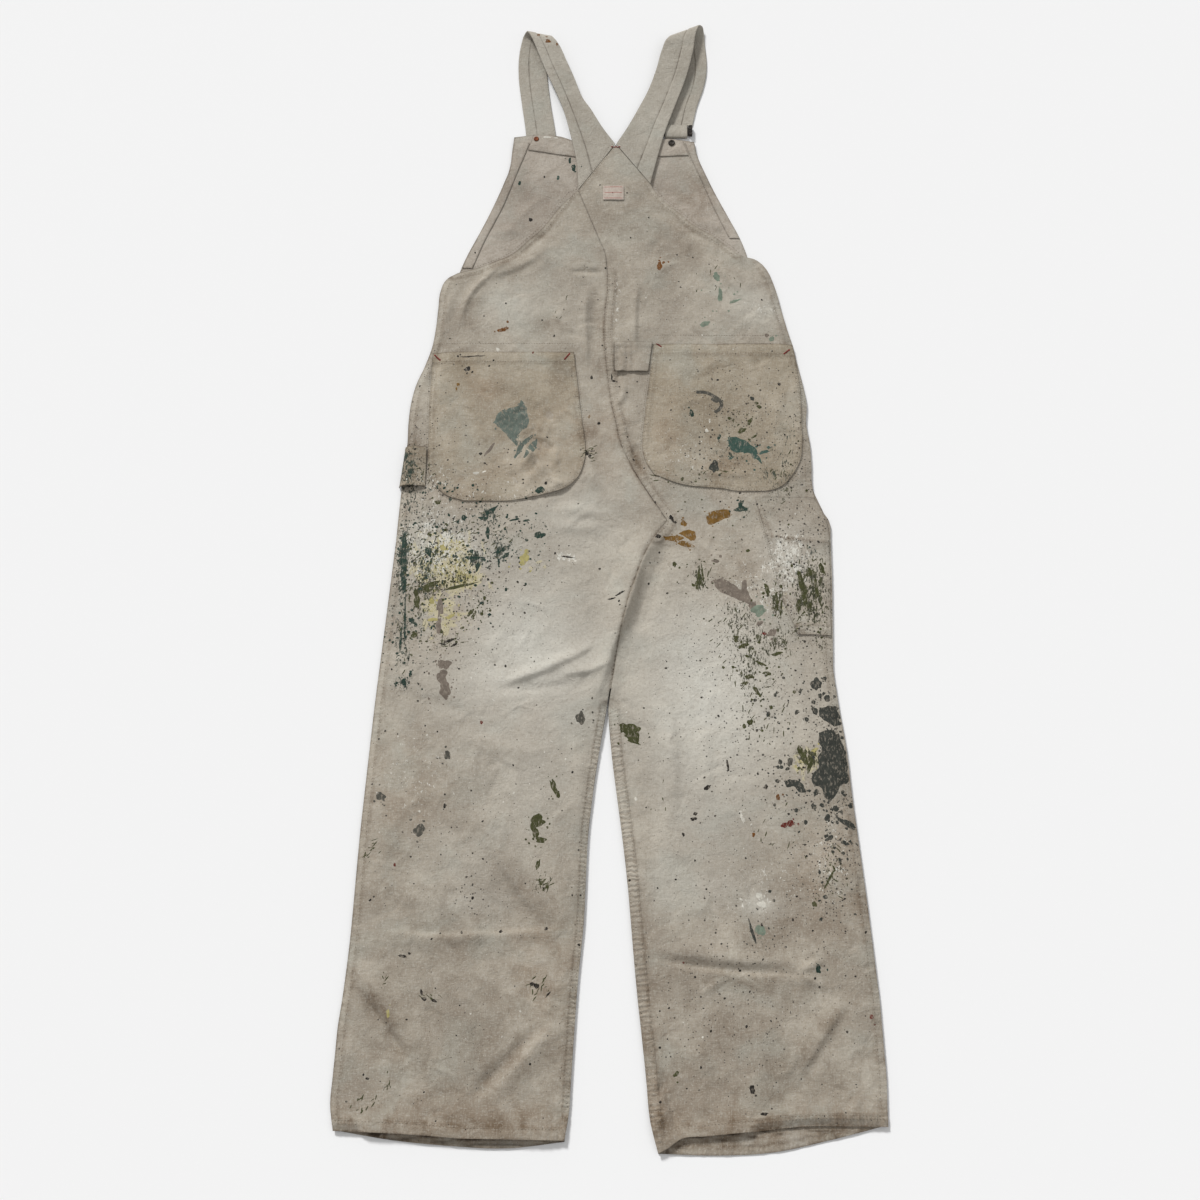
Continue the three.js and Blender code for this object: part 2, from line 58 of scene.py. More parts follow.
FELL = 10.0  # width of the centre seam's felled band
HEM_HEIGHT = 13.0
PUCKER_PITCH = 0.0055  # metres between the puckers along a seam
CLEAR = 0.12  # paint lies this far off the cloth
THIN = 0.1  # small drops and strokes lie this far off it
RIM = 0.03  # and the rim of a paint mark this far
POCKET_LIFT = 1.35  # upper side of a pocket above that of the cloth under it
TAB_LIFT = 1.5
LABEL_LIFT = 1.6
CREASE_RISE = 1.5  # how much higher a crease is built than its number says
CREASE_FADE = 0.35  # share of a crease's length over which each end fades
SPOT_FALL = 0.8  # how fast a soft mark fades from its middle
SPOT_OVERLAP = 0.25  # what the weaker of two soft marks adds where they overlap
RIB_TURN = 0.9  # radians from X to the drill's ribs

# ---------- colours, as the eye sees them ----------


def rgb(red, green, blue):
    """A colour given as 0 to 255 on screen, as the linear values that a shader takes."""
    values = [c / 255 for c in (red, green, blue)]
    return [c / 12.92 if c <= 0.04045 else ((c + 0.055) / 1.055) ** 2.4 for c in values] + [1.0]


ECRU = rgb(175, 167, 153)
ECRU_SHADE = rgb(146, 137, 124)
COOL = rgb(160, 161, 151)
TAN = rgb(160, 132, 104)
BIB_TINT = rgb(176, 167, 155)
STRAP_TINT = rgb(173, 167, 155)
# The brown of real grime, also used for painted shade in creases, beside seams and in the hollows of
# puckers.
GRIME_AND_SHADE = rgb(106, 90, 72)
# Painted shadow lines along seams, cut edges and where one layer lies on another.
PAINTED_EDGE_SHADE = rgb(66, 55, 44)
PALE = rgb(200, 197, 187)
PAINT_COLOURS = {
    "teal": rgb(92, 101, 93),
    "sea_green": rgb(56, 78, 70),
    "deep_teal": rgb(38, 56, 48),
    "olive": rgb(62, 64, 36),
    "slate": rgb(54, 56, 51),
    "grey": rgb(76, 74, 67),
    "taupe": rgb(112, 102, 92),
    "mustard": rgb(112, 83, 38),
    "yellow": rgb(162, 153, 100),
    "rust": rgb(102, 64, 26),
    "red": rgb(92, 36, 28),
    "black": rgb(38, 35, 31),
    "white": rgb(196, 192, 181),
    "pale_teal": rgb(112, 124, 109),
}

# ---------- creases and marks --------------------------
# A crease is its line, its height (a trough is negative), its half width, and how far it leans to one side.
CREASES = [
    ([(58, -18), (42, -50), (28, -96), (12, -142), (-6, -196), (-22, -236)], 3.4, 8, 0.5),
    ([(72, -22), (58, -66), (38, -120), (24, -160)], -2.6, 9, 0),
    ([(-10, -150), (-44, -172), (-84, -186)], 2.2, 6, 0.4),
    ([(-46, -178), (-90, -192), (-124, -204)], 2.4, 6, 0.4),
    ([(8, -176), (-20, -188), (-58, -192)], 2.0, 5, 0.5),
    ([(8, -196), (-60, -206), (-158, -208)], -1.4, 7, 0),
    ([(-244, -216), (-196, -226), (-150, -246)], -1.2, 9, 0),
    ([(-138, -380), (-116, -416), (-92, -450), (-66, -486)], 3.0, 12, -0.5),
    ([(-262, -488), (-200, -494), (-130, -492), (-40, -486)], 2.4, 7, 0.5),
    ([(-290, -500), (-262, -536), (-232, -572), (-196, -620), (-176, -660)], 2.8, 11, 0.5),
    ([(-300, -560), (-270, -600), (-248, -640)], -1.8, 12, 0),
    ([(-280, -540), (-244, -590), (-206, -640)], -3.2, 6, 0),
    ([(-69, -583), (-90, -606), (-113, -630), (-156, -672)], -2.6, 7, 0),
    ([(-52, -582), (-74, -604), (-98, -632), (-138, -674)], 2.6, 9, -0.4),
    ([(36, -512), (84, -524), (130, -530), (182, -533), (222, -534)], -2.4, 8, -0.6),
    ([(36, -503), (84, -514), (130, -520), (182, -523), (222, -525)], 3.0, 9, -0.25),
    ([(40, -488), (90, -496), (150, -502), (210, -504)], 1.4, 22, 0),
    ([(202, -534), (220, -526), (240, -518)], 1.9, 5, 0),
    ([(206, -536), (226, -544), (240, -552)], 1.7, 5, 0),
    ([(66, -216), (74, -290), (70, -380)], 1.6, 9, 0.2),
    ([(104, -236), (112, -300), (106, -350)], 1.2, 8, 0),
    ([(262, -556), (228, -604), (190, -660)], 3.2, 10, 0.4),
    ([(236, -590), (210, -630), (176, -676)], -1.6, 10, 0),
    ([(-131, 356), (-174, 322), (-196, 264)], -2.6, 8, 0.4),
    ([(-118, 366), (-150, 340), (-178, 300), (-186, 262)], 2.4, 6, 0.4),
    ([(-196, 316), (-204, 280), (-210, 240)], 1.4, 6, 0),
    ([(136, 352), (150, 334), (166, 314)], 1.9, 6, -0.4),
    ([(150, 360), (170, 336), (190, 312)], 1.6, 6, 0),
    ([(160, 372), (192, 340), (214, 300), (226, 250)], -1.6, 8, 0),
    ([(67, 362), (104, 322), (137, 281)], 1.0, 12, 0),
    ([(40, 336), (36, 300), (34, 262), (36, 226)], 2.3, 6, 0.5),
    ([(31, 104), (35, 84), (42, 60)], -2.8, 5, 0),
    ([(20, 372), (30, 340), (34, 300)], 1.4, 8, 0),
    ([(-14, 330), (-16, 280), (-15, 220)], -2.3, 6, 0),
    ([(-50, 343), (-26, 345), (0, 343)], -1.5, 4, 0),
    ([(-25, 330), (-28, 290), (-27, 243), (-25, 190)], 1.8, 6, 0.5),
    ([(-18, 120), (-20, 80), (-14, 40)], 1.4, 7, 0),
    ([(16, 196), (20, 176), (10, 150)], 1.6, 4, 0),
    ([(22, 130), (34, 100), (44, 66)], -1.6, 5, 0),
    ([(-66, 20), (-30, 14), (12, 8)], 1.7, 8, 0),
    ([(-84, -2), (-40, -8), (10, -4)], 1.4, 8, 0),
    ([(-40, 78), (-10, 50), (24, 10)], 1.4, 9, 0),
    ([(-40, -250), (-34, -330), (-38, -400)], 1.3, 9, 0),
    ([(-180, -262), (-120, -282), (-60, -284)], 1.2, 10, 0),
    ([(-258, 20), (-262, -60), (-266, -140)], 0.9, 6, 0),
    ([(210, -170), (224, -240), (230, -320)], 1.3, 9, 0),
    ([(120, -400), (150, -470), (158, -520)], 1.1, 12, 0),
    ([(90, -600), (100, -640), (96, -690)], 1.2, 10, 0),
    ([(170, -580), (160, -640), (166, -690)], 1.1, 12, 0),
    ([(-150, -520), (-156, -600), (-146, -680)], 1.1, 12, 0),
    ([(-230, -330), (-250, -400), (-262, -460)], 1.2, 10, 0),
    ([(200, 296), (212, 270), (224, 240)], 2.0, 5, 0),
    ([(-206, 250), (-214, 210), (-222, 160)], -2.0, 6, 0),
    ([(-72, 380), (-110, 352), (-160, 334)], 1.6, 6, 0.4),
    ([(190, 356), (206, 330), (216, 296)], 2.0, 6, 0),
    ([(24, 470), (52, 440), (90, 420)], -1.2, 7, 0),
    ([(12, 250), (14, 220), (10, 186)], -1.6, 4, 0),
    ([(-100, 396), (-84, 372), (-78, 340)], 1.2, 6, 0),
    ([(82, 420), (98, 392), (104, 360)], 1.3, 6, 0),
    ([(-40, 440), (-20, 400), (-4, 356)], 1.2, 6, 0),
    ([(-60, 420), (-96, 384), (-150, 350)], -1.2, 6, 0),
    ([(70, 440), (112, 400), (176, 372)], -1.2, 6, 0),
    ([(54, -626), (64, -664), (76, -704)], -2.6, 3.5, 0),
    ([(46, -634), (54, -668), (64, -704)], 1.8, 4, 0),
    ([(62, -640), (48, -668), (34, -694)], -1.8, 5, 0),
]
POCKET_CREASES = [
    ([(-172, 210), (-146, 176), (-128, 140), (-116, 112)], 1.6, 6, 0.3),
    ([(-104, 100), (-84, 76), (-66, 52)], 2.0, 5, 0.4),
    ([(-196, 120), (-192, 84), (-172, 52)], 1.0, 7, 0),
    ([(-112, 112), (-98, 96), (-86, 74)], 1.6, 3, 0),
    ([(-100, 120), (-88, 104), (-78, 84)], -1.2, 3, 0),
    ([(-70, 140), (-60, 110), (-64, 80)], 0.8, 6, 0),
    ([(70, 210), (90, 160), (84, 110)], 1.1, 8, 0),
    ([(214, 190), (206, 130), (216, 80)], 1.2, 8, 0),
    ([(96, 70), (140, 62), (190, 66)], 1.1, 5, 0),
    ([(60, 130), (76, 90), (104, 60)], 0.9, 7, 0),
]
BIB_CREASES = [
    ([(-92, 544), (-84, 532), (-76, 526)], 0.8, 4, 0),
    ([(88, 536), (94, 524), (98, 520)], 0.8, 4, 0),
    ([(-150, 400), (-128, 408), (-104, 402)], 0.8, 5, 0),
    ([(-140, 380), (-110, 430), (-70, 470)], 0.7, 6, 0),
    ([(150, 404), (128, 420), (110, 424)], 0.8, 5, 0),
    ([(160, 390), (126, 440), (90, 486)], 0.7, 6, 0),
]

# Soft marks: centre x and y, half sizes across and along, turn in degrees, strength.
FIELDS = {
    # Grime, and painted shade in creases and troughs.
    "dirt_and_shade": [
        (-150, 120, 90, 100, 20, 0.30), (-150, 60, 90, 40, 0, 0.28), (150, 140, 80, 90, 0, 0.42),
        (-110, 370, 60, 34, 35, 0.36), (110, 380, 60, 34, -35, 0.46), (-172, 300, 16, 44, -14, 0.6),
        (-130, 176, 24, 44, 30, 0.40), (-57, 193, 15, 24, 0, 0.75), (-70, 120, 24, 60, 0, 0.25),
        (10, 290, 26, 150, 0, 0.25), (-27, 120, 14, 20, 0, 0.75), (-12, 230, 9, 110, 0, 0.35),
        (106, 470, 14, 22, 0, 0.6), (112, 430, 12, 20, 0, 0.45), (-116, 470, 14, 22, 0, 0.35),
        (-200, 10, 60, 34, 0, 0.35), (200, 10, 60, 60, 0, 0.35), (220, -60, 40, 90, 0, 0.4),
        (140, -60, 40, 34, 0, 0.45), (-200, -60, 60, 90, 0, 0.3), (-190, -640, 130, 60, 0, 0.5),
        (-120, -694, 190, 18, 0, 0.78), (170, -694, 170, 20, 0, 0.72), (170, -640, 150, 60, 0, 0.42),
        (-250, -400, 40, 120, 0, 0.42), (-170, -490, 120, 60, 0, 0.45), (270, -430, 26, 130, 0, 0.45),
        (60, -600, 30, 120, 0, 0.4), (-60, -520, 20, 160, 0, 0.4), (235, -340, 50, 60, 0, 0.35),
        (120, 470, 26, 60, -20, 0.35), (-110, 440, 40, 60, 20, 0.18), (-240, 74, 22, 34, 0, 0.9),
        # The mark at x 35, y 82 is painted shadow in the trough between the centre seam and the right
        # pocket.
        (35, 82, 8, 26, 16, 1.0), (100, -711, 70, 7, 0, 0.8), (40, -500, 10, 180, 0, 0.45),
        (196, 330, 30, 30, 0, 0.35), (60, 330, 44, 26, 0, 0.42), (-160, -360, 30, 24, -30, 0.35),
        (-200, -330, 60, 40, 0, 0.25), (-40, 350, 30, 30, 0, 0.35), (-190, 250, 30, 30, 20, 0.3),
        (180, -470, 90, 40, 0, 0.35), (-100, -440, 22, 60, 35, 0.5), (-230, -560, 26, 60, 40, 0.5),
        (128, 66, 26, 10, 20, 0.7), (72, 96, 10, 40, 0, 0.5), (30, 92, 10, 30, 20, 0.7),
        (-76, 268, 20, 12, 0, 0.5), (-226, -450, 16, 10, 0, 0.45), (-200, -560, 26, 20, 0, 0.4),
        (-75, -546, 22, 18, 0, 0.5), (90, -20, 60, 20, -20, 0.3), (-170, -300, 90, 60, 0, 0.35),
        (150, 90, 60, 50, 0, 0.45), (190, -460, 80, 90, 0, 0.48), (-100, -600, 160, 90, 0, 0.44),
        # The marks on this line and the next lie along creases: painted shade in their troughs.
        (-254, -566, 11, 48, 40, 0.85), (-212, -614, 10, 54, 42, 0.75), (-112, -630, 9, 56, -44, 0.8),
        (60, -662, 5, 44, -16, 0.7), (130, -540, 100, 12, -4, 0.7), (230, -600, 14, 70, -40, 0.7),
        (140, -600, 140, 90, 0, 0.44), (20, 430, 60, 50, 0, 0.36),
    ],
    "tan": [
        (-60, 110, 34, 50, 0, 0.55), (-150, 174, 16, 40, 30, 0.6), (-120, 60, 40, 20, 0, 0.4),
        (70, 110, 16, 50, 0, 0.5), (120, 76, 40, 22, 0, 0.5), (0, 110, 26, 60, 0, 0.35),
        (-74, -520, 30, 50, 0, 0.55), (-110, -240, 40, 30, 0, 0.3), (-190, -120, 40, 50, 0, 0.4),
        (-230, -330, 40, 60, 0, 0.3), (240, -420, 30, 60, 0, 0.45), (180, -60, 60, 50, 0, 0.3),
        (-120, -690, 190, 24, 0, 0.5), (170, -690, 170, 24, 0, 0.5), (40, -660, 20, 40, 0, 0.4),
        (-178, 40, 30, 20, 0, 0.4), (106, 460, 20, 40, 0, 0.35),
    ],
    "pale": [
        (-104, -170, 90, 100, 0, 0.85), (-90, -300, 60, 80, 0, 0.35), (116, -210, 80, 110, 0, 0.9),
        (116, -340, 70, 80, 0, 0.36), (-140, -400, 60, 60, 0, 0.2), (-40, 0, 60, 60, 0, 0.4),
        (212, -50, 30, 44, 0, 0.95), (-190, -40, 50, 40, 0, 0.75), (190, 300, 30, 30, 0, 0.4),
        (-60, 330, 50, 60, 0, 0.12), (178, 380, 8, 20, 20, 0.3), (168, -458, 20, 14, 0, 0.9),
        (128, -440, 50, 26, 0, 0.4), (197, -707, 14, 9, 0, 1.0), (150, -706, 16, 5, 0, 0.7),
        (-130, 300, 40, 30, 0, 0.3), (-140, -455, 50, 16, 0, 0.35), (60, -430, 24, 40, 0, 0.3),
    ],
    "teal_flecks": [
        (-244, -50, 9, 50, 0, 0.95), (-236, 30, 22, 30, 0, 0.55), (-142, 10, 24, 16, 0, 0.7),
        (-130, -34, 26, 18, 0, 0.72), (-160, -46, 20, 12, 0, 0.75), (-216, -50, 26, 50, 0, 0.66),
        (-186, -4, 40, 18, 0, 0.55), (-206, -120, 30, 40, 0, 0.45), (-240, -150, 16, 44, 0, 0.62),
        (-150, -96, 30, 30, 40, 0.42), (-90, -4, 40, 12, 0, 0.42), (-84, -54, 22, 16, 0, 0.4),
        (-246, 74, 16, 30, 0, 0.9), (236, -50, 24, 46, 0, 0.5), (216, 100, 20, 60, 0, 0.5),
        (150, 88, 40, 14, -20, 0.5), (200, 60, 30, 20, 0, 0.5), (-238, -202, 12, 10, 0, 0.7),
        (-88, 40, 14, 10, 0, 0.4), (166, -500, 20, 40, 0, 0.35), (-200, 44, 40, 10, 0, 0.5),
    ],
    "olive_flecks": [
        (-216, -84, 26, 14, 20, 0.85), (-178, -72, 26, 12, 10, 0.7), (-222, -120, 16, 30, 0, 0.55),
        (-200, -40, 34, 34, 0, 0.5), (240, -94, 24, 44, 0, 0.85), (199, -104, 8, 18, 0, 0.85),
        (109, -71, 10, 18, 0, 0.9), (170, -160, 36, 30, -20, 0.66), (164, -200, 30, 26, -20, 0.6),
        (150, -120, 30, 30, 0, 0.6), (200, -150, 26, 22, 0, 0.6), (163, -250, 12, 12, 0, 0.6),
        (228, -292, 14, 20, 30, 0.85), (250, -420, 14, 40, -30, 0.55), (210, -60, 40, 50, 0, 0.45),
        (-150, -106, 14, 24, -30, 0.5), (150, 140, 30, 30, 0, 0.4), (214, 50, 26, 34, 0, 0.5),
        (-76, -436, 12, 16, -40, 0.6), (-70, -330, 10, 30, 0, 0.3), (252, -150, 12, 40, 0, 0.5),
        (90, 60, 40, 16, 0, 0.3), (-188, -150, 26, 14, 0, 0.6), (180, 20, 60, 20, 0, 0.35),
    ],
    "ochre_flecks": [
        (-200, -56, 46, 40, 0, 0.9), (-174, -72, 24, 16, 0, 0.9), (-200, -112, 24, 20, 0, 0.6),
        (-196, -134, 26, 16, 0, 0.6), (-196, -30, 26, 16, 0, 0.7), (-90, -56, 20, 16, 0, 0.45),
        (224, -296, 16, 22, 0, 0.8), (240, -470, 20, 30, 0, 0.3), (200, -100, 20, 30, 0, 0.4),
        (-170, -122, 20, 12, 0, 0.5),
    ],
    "white_flecks": [
        (216, -46, 34, 40, 0, 0.78), (-206, -30, 56, 56, 0, 0.85), (-210, 56, 36, 34, 0, 0.45),
        (-50, -45, 16, 5, -8, 0.7), (180, -90, 60, 50, 0, 0.55), (170, -440, 60, 50, 0, 0.45),
        (-150, 40, 80, 30, 0, 0.42), (120, 300, 70, 50, 0, 0.3), (-60, -280, 80, 80, 0, 0.3),
        (250, -400, 30, 60, 0, 0.55), (-220, -320, 60, 60, 0, 0.42), (200, 290, 40, 20, 0, 0.5),
        (96, 90, 50, 40, 0, 0.45), (12, 300, 6, 60, 0, 0.6), (-48, -45, 18, 6, 0, 0.8),
        (-100, -600, 90, 60, 0, 0.2), (130, -600, 90, 70, 0, 0.2), (-130, -200, 60, 40, 0, 0.4),
    ],
    "slate_flecks": [
        (256, -270, 22, 70, 0, 0.62), (226, -330, 34, 34, 0, 0.55), (262, -360, 20, 50, 0, 0.6),
        (190, -240, 50, 40, 0, 0.4), (-200, -160, 30, 30, 0, 0.45), (130, 170, 40, 24, 0, 0.3),
        (244, -440, 40, 60, 0, 0.45),
    ],
    "specks": [
        (-235, 0, 50, 220, 0, 0.9), (240, -60, 50, 260, 0, 0.9), (160, -200, 110, 200, 0, 0.7),
        (-180, -60, 110, 120, 0, 0.9), (250, -400, 50, 120, 0, 0.8), (60, 300, 200, 120, 0, 0.28),
        (150, 130, 90, 100, 0, 0.8), (-130, 120, 90, 100, 0, 0.2), (-150, -420, 140, 140, 0, 0.4),
        (150, -540, 140, 160, 0, 0.6), (-160, -640, 130, 80, 0, 0.35), (-153, -450, 24, 30, 0, 0.9),
    ],
}

# Paint that stands out: x, y, width, height, turn in degrees.
SPLASHES = {
    "rust": [
        (-79, 693, 7, 6, 0), (-92, 703, 4, 6, 0), (-71, 697, 3, 5, 0), (-67, 689, 3, 5, 0),
        (66, 352, 7, 12, 0), (71, 357, 4, 4, 0), (-131, 261, 13, 6, 24), (192, -337, 4, 8, 0),
        (163, -380, 4, 5, 0),
    ],
    "deep_teal": [
        (-114, 478, 4, 6, 0), (-49, 512, 4, 8, 0), (-44, 501, 6, 10, 0), (103, 144, 6, 9, 0),
        (-82, 41, 11, 9, 0), (-82, -17, 12, 9, 20), (160, 17, 18, 6, 10), (160, 24, 6, 10, -20),
        (229, -529, 6, 9, 20), (-190, 30, 5, 4, 0), (-244, -24, 5, 20, 4), (-243, -50, 7, 26, 2),
        (-242, -78, 6, 24, 2), (-239, -123, 2.4, 56, 2), (-142, 14, 24, 5, 38), (-150, 5, 10, 5, 0),
        (-144, -14, 5, 15, 8), (-127, -36, 20, 5, 24), (-122, -43, 12, 4, 30), (-130, -52, 3, 9, 0),
        (-160, -46, 20, 5, 4), (-155, -57, 5, 12, -16), (-214, -38, 8, 12, 30), (-231, -125, 10, 5, -34),
        (-226, -130, 4, 7, 0), (-247, 66, 9, 4, -20), (-240, 60, 5, 4, 20), (-237, -201, 6, 8, 20),
        (-246, -202, 6, 3, 30), (-243, -150, 2.5, 30, 0), (-173, 6, 7, 7, 0), (-112, 3, 12, 3, 10),
        (-98, 2, 9, 3, 6), (136, 112, 4, 8, -20),
    ],
    "sea_green": [
        (-64, 486, 4, 6, 0), (181, 86, 6, 16, 30), (190, 92, 14, 4, 16), (196, 98, 5, 4, 0),
        (150, 84, 8, 3, 20),
    ],
    "taupe": [
        (199, 253, 5, 6, 0), (-191, -179, 14, 13, 0), (-193, -194, 11, 19, 0), (-189, -210, 13, 20, 0),
        (-198, -108, 7, 24, 2), (-199, -132, 6, 20, 2), (170, -106, 9, 8, 0), (-144, 96, 4, 20, -32),
        (192, -140, 12, 8, 20), (128, -50, 8, 5, 0), (134, -44, 4, 4, 0), (178, -128, 8, 5, 10),
    ],
    "grey": [
        (-184, -288, 7, 11, 20), (-213, -375, 14, 12, 0), (-32, -244, 11, 14, 0), (-258, -336, 9, 12, 40),
        (133, 163, 11, 8, 0), (207, -296, 7, 10, 0),
    ],
    "slate": [
        (129, 72, 12, 15, 0), (178, 164, 6, 5, 0), (241, -203, 12, 15, 0), (245, -217, 5, 6, 0),
        (253, -220, 8, 8, 0), (238, -235, 7, 9, 0), (237, -225, 5, 5, 0), (269, -367, 24, 7, -26),
        (232, -348, 6, 7, 0), (257, -350, 7, 7, 0), (247, -361, 6, 10, 0), (249, -383, 7, 6, 0),
        (222, -366, 5, 5, 0), (196, -296, 5, 6, 0), (274, -346, 6, 6, 0), (222, -212, 4, 6, 0),
        (212, -352, 5, 5, 0), (158, -489, 4, 22, 14), (236, -330, 5, 5, 0), (204, -304, 5, 4, 0),
        (251, -196, 5, 5, 0), (228, -246, 5, 6, 0),
    ],
    "black": [
        (-99, 424, 5, 6, 0), (212, 184, 4, 5, 0), (-20, 194, 3, 6, 0), (-11, 131, 4, 4, 0),
        (-155, 90, 4, 4, 0), (-75, 50, 4, 4, 0), (-67, 252, 2.5, 4, 0), (-26, 90, 7, 5, 20),
        (-22, 86, 4, 5, 0), (-19, 93, 6, 2, 10), (-48, -45, 17, 1.8, -8), (-186, -150, 14, 3, 16),
        (-180, -155, 10, 2.4, 30), (-194, -154, 8, 2, -10), (98, -356, 5, 4, 0), (179, -325, 4, 6, 0),
        (-185, -347, 4, 5, 0), (-119, -488, 4, 4, 0), (-151, -451, 3, 4, 0), (-69, -485, 4, 4, 0),
        (-84, -545, 5, 4, 0), (-201, -561, 6, 4, -30), (-190, -563, 8, 2.4, -20), (-204, -554, 3, 7, 10),
        (-226, -515, 10, 3, -10), (-219, -512, 3, 3, 0), (-10, -60, 3, 3, 0), (136, -300, 3, 12, 10),
        (112, -326, 10, 4, 40), (96, -362, 8, 4, 0), (-174, 205, 9, 6, 35), (-166, 222, 24, 1.6, 3),
        (-178, 221, 12, 1.2, -4), (30, -256, 3, 3, 0), (153, -656, 6, 9, 0), (165, -681, 9, 3, 0),
        (84, -380, 3, 5, 0), (128, 76, 8, 3, 20), (8, 189, 9, 2.4, -14), (5, 194, 2, 9, 0),
        (14, -93, 13, 2.4, 30), (4, -99, 10, 2, 8), (76, 5, 5, 9, 20), (80, 0, 6, 3, 0),
        (-79, -547, 7, 5, 0), (-66, -556, 8, 2, 50), (136, 190, 3, 3, 0), (60, -20, 7, 5, 0),
    ],
    "olive": [
        (186, 153, 7, 4, -40), (183, 158, 5, 4, 0), (174, 133, 5, 10, -20), (164, 121, 12, 6, 34),
        (179, 113, 8, 3, 30), (90, 56, 4, 5, 0), (79, -54, 5, 7, 0), (107, -70, 3, 28, -6),
        (112, -66, 2.6, 20, 6), (105, -82, 2.4, 12, 16), (199, -100, 3, 26, 4), (204, -108, 2.4, 18, -6),
        (230, -84, 8, 40, 8), (240, -66, 14, 6, 30), (224, -108, 6, 16, 0), (246, -84, 4, 26, 10),
        (254, -60, 5, 18, 16), (236, -108, 8, 6, 0), (188, -86, 5, 16, 20), (158, -156, 14, 5, 20),
        (197, -166, 14, 4, 10), (178, -178, 12, 4, -26), (164, -194, 12, 5, 0), (172, -212, 4, 14, 34),
        (150, -146, 8, 4, 30), (186, -190, 8, 4, -20), (163, -249, 8, 6, 30), (156, -254, 4, 6, 0),
        (27, -261, 22, 20, 0), (18, -256, 10, 12, 0), (29, -272, 12, 5, -20), (228, -458, 6, 6, 0),
        (72, -640, 8, 4, 40), (-62, -325, 6, 19, 26), (-57, -334, 5, 8, 0), (-80, -364, 16, 14, 12),
        (-83, -376, 8, 16, 14), (-76, -386, 12, 7, 0), (-79, -414, 4, 13, -14), (-74, -434, 10, 3, 40),
        (-70, -440, 12, 2, 44), (222, -288, 8, 22, 24), (230, -300, 5, 18, -20), (-210, -80, 18, 7, 28),
        (-216, -86, 10, 6, 10), (-176, -82, 44, 3.4, 14), (-227, -142, 8, 9, -20), (-226, -98, 7, 24, 10),
        (-162, -115, 5, 11, -34), (-158, -118, 4, 8, -30), (-146, -97, 4, 5, 0), (246, -430, 3, 22, -30),
        (-205, 26, 8, 5, 0),
    ],
    "mustard": [(91, -1, 7, 8, 20), (-185, 184, 4, 5, 0), (-187, 178, 2, 5, 0), (-23, 140, 3, 5, 0)],
    "yellow": [
        (-100, -48, 9, 18, -26), (-97, -38, 6, 6, 0), (-239, -577, 4, 8, 0), (-186, -120, 13, 4, 24),
        (-206, -124, 14, 4, -4), (-208, -100, 6, 9, 0), (-197, -33, 6, 9, 20), (236, -282, 8, 5, 20),
    ],
    "red": [
        (-93, 228, 2.5, 4, 0), (-146, -249, 3, 5, 0), (-239, -414, 3, 4, 0), (183, -141, 5, 4, 0),
        (82, -522, 2.4, 2.4, 0), (198, -369, 8, 6, 20), (205, -367, 9, 7, 10), (285, -580, 4, 5, 0),
        (288, -588, 2, 2, 0),
    ],
    "white": [
        (-52, -42, 12, 1.4, -8), (-43, -48, 10, 1.2, -8), (151, -361, 4, 11, 20), (167, -448, 8, 6, 0),
        (170, -458, 10, 8, 0), (31, -339, 3, 5, 0), (-137, 233, 4, 6, 20), (-79, 547, 11, 3, -2),
        (-68, 546, 6, 2.4, -8), (121, 121, 4, 5, 0), (-160, 64, 8, 3, 12), (-150, 66, 5, 2, 20),
        (125, 134, 2, 6, 0), (206, 290, 4, 3, 0),
    ],
    "pale_teal": [
        (142, 310, 5, 22, -6), (122, 269, 13, 7, 20), (138, 336, 8, 12, 30), (167, -487, 11, 12, 0),
        (160, 301, 14, 4, 20), (205, 248, 6, 8, 0), (177, -112, 17, 14, 0),
    ],
}
# Larger paint marks by their outlines.
PATCHES = {
    "teal": [
        [(-140, 132), (-133, 145), (-123, 150), (-110, 154), (-107, 162), (-103, 157), (-98, 142),
         (-98, 128), (-108, 117), (-111, 100), (-122, 113)],
        [(-108, 102), (-99, 111), (-92, 115), (-96, 108), (-103, 98), (-113, 84)],
        [(-92, 106), (-87, 110), (-88, 100), (-94, 88), (-102, 84), (-101, 92)],
    ],
    "sea_green": [
        [(146, 112), (156, 112), (167, 107), (174, 102), (181, 98), (182, 90), (178, 82), (174, 89),
         (164, 92), (153, 92), (148, 99)],
    ],
    "taupe": [
        [(124, -74), (135, -72), (148, -80), (158, -86), (159, -76), (162, -74), (165, -87), (170, -106),
         (157, -101), (140, -93), (128, -84)],
    ],
    "mustard": [
        [(117, 10), (128, 14), (146, 15), (147, 8), (137, 3), (120, -2)],
        [(66, -20), (79, -17), (91, -20), (86, -24), (74, -23)],
        [(84, -14), (96, -10), (104, -13), (103, -24), (94, -20)],
        [(80, -24), (96, -26), (104, -32), (89, -31)],
    ],
    "slate": [
        [(242, -262), (255, -257), (264, -261), (267, -271), (272, -284), (273, -307), (273, -320),
         (265, -322), (258, -333), (252, -340), (245, -338), (243, -327), (233, -322), (232, -311),
         (240, -302), (239, -291), (244, -280), (241, -271)],
        [(244, -232), (255, -229), (266, -230), (268, -239), (268, -250), (260, -253), (252, -248),
         (243, -241)],
        [(199, -318), (207, -316), (216, -318), (222, -324), (224, -331), (215, -331), (211, -325),
         (203, -325)],
    ],
}
# A curved run of grey paint, along a line.
WORM_WIDTH = 4.6
GREY_WORM = [(111, 173), (118, 173), (125, 171), (130, 168), (136, 164), (140, 156), (137, 150), (133, 147)]
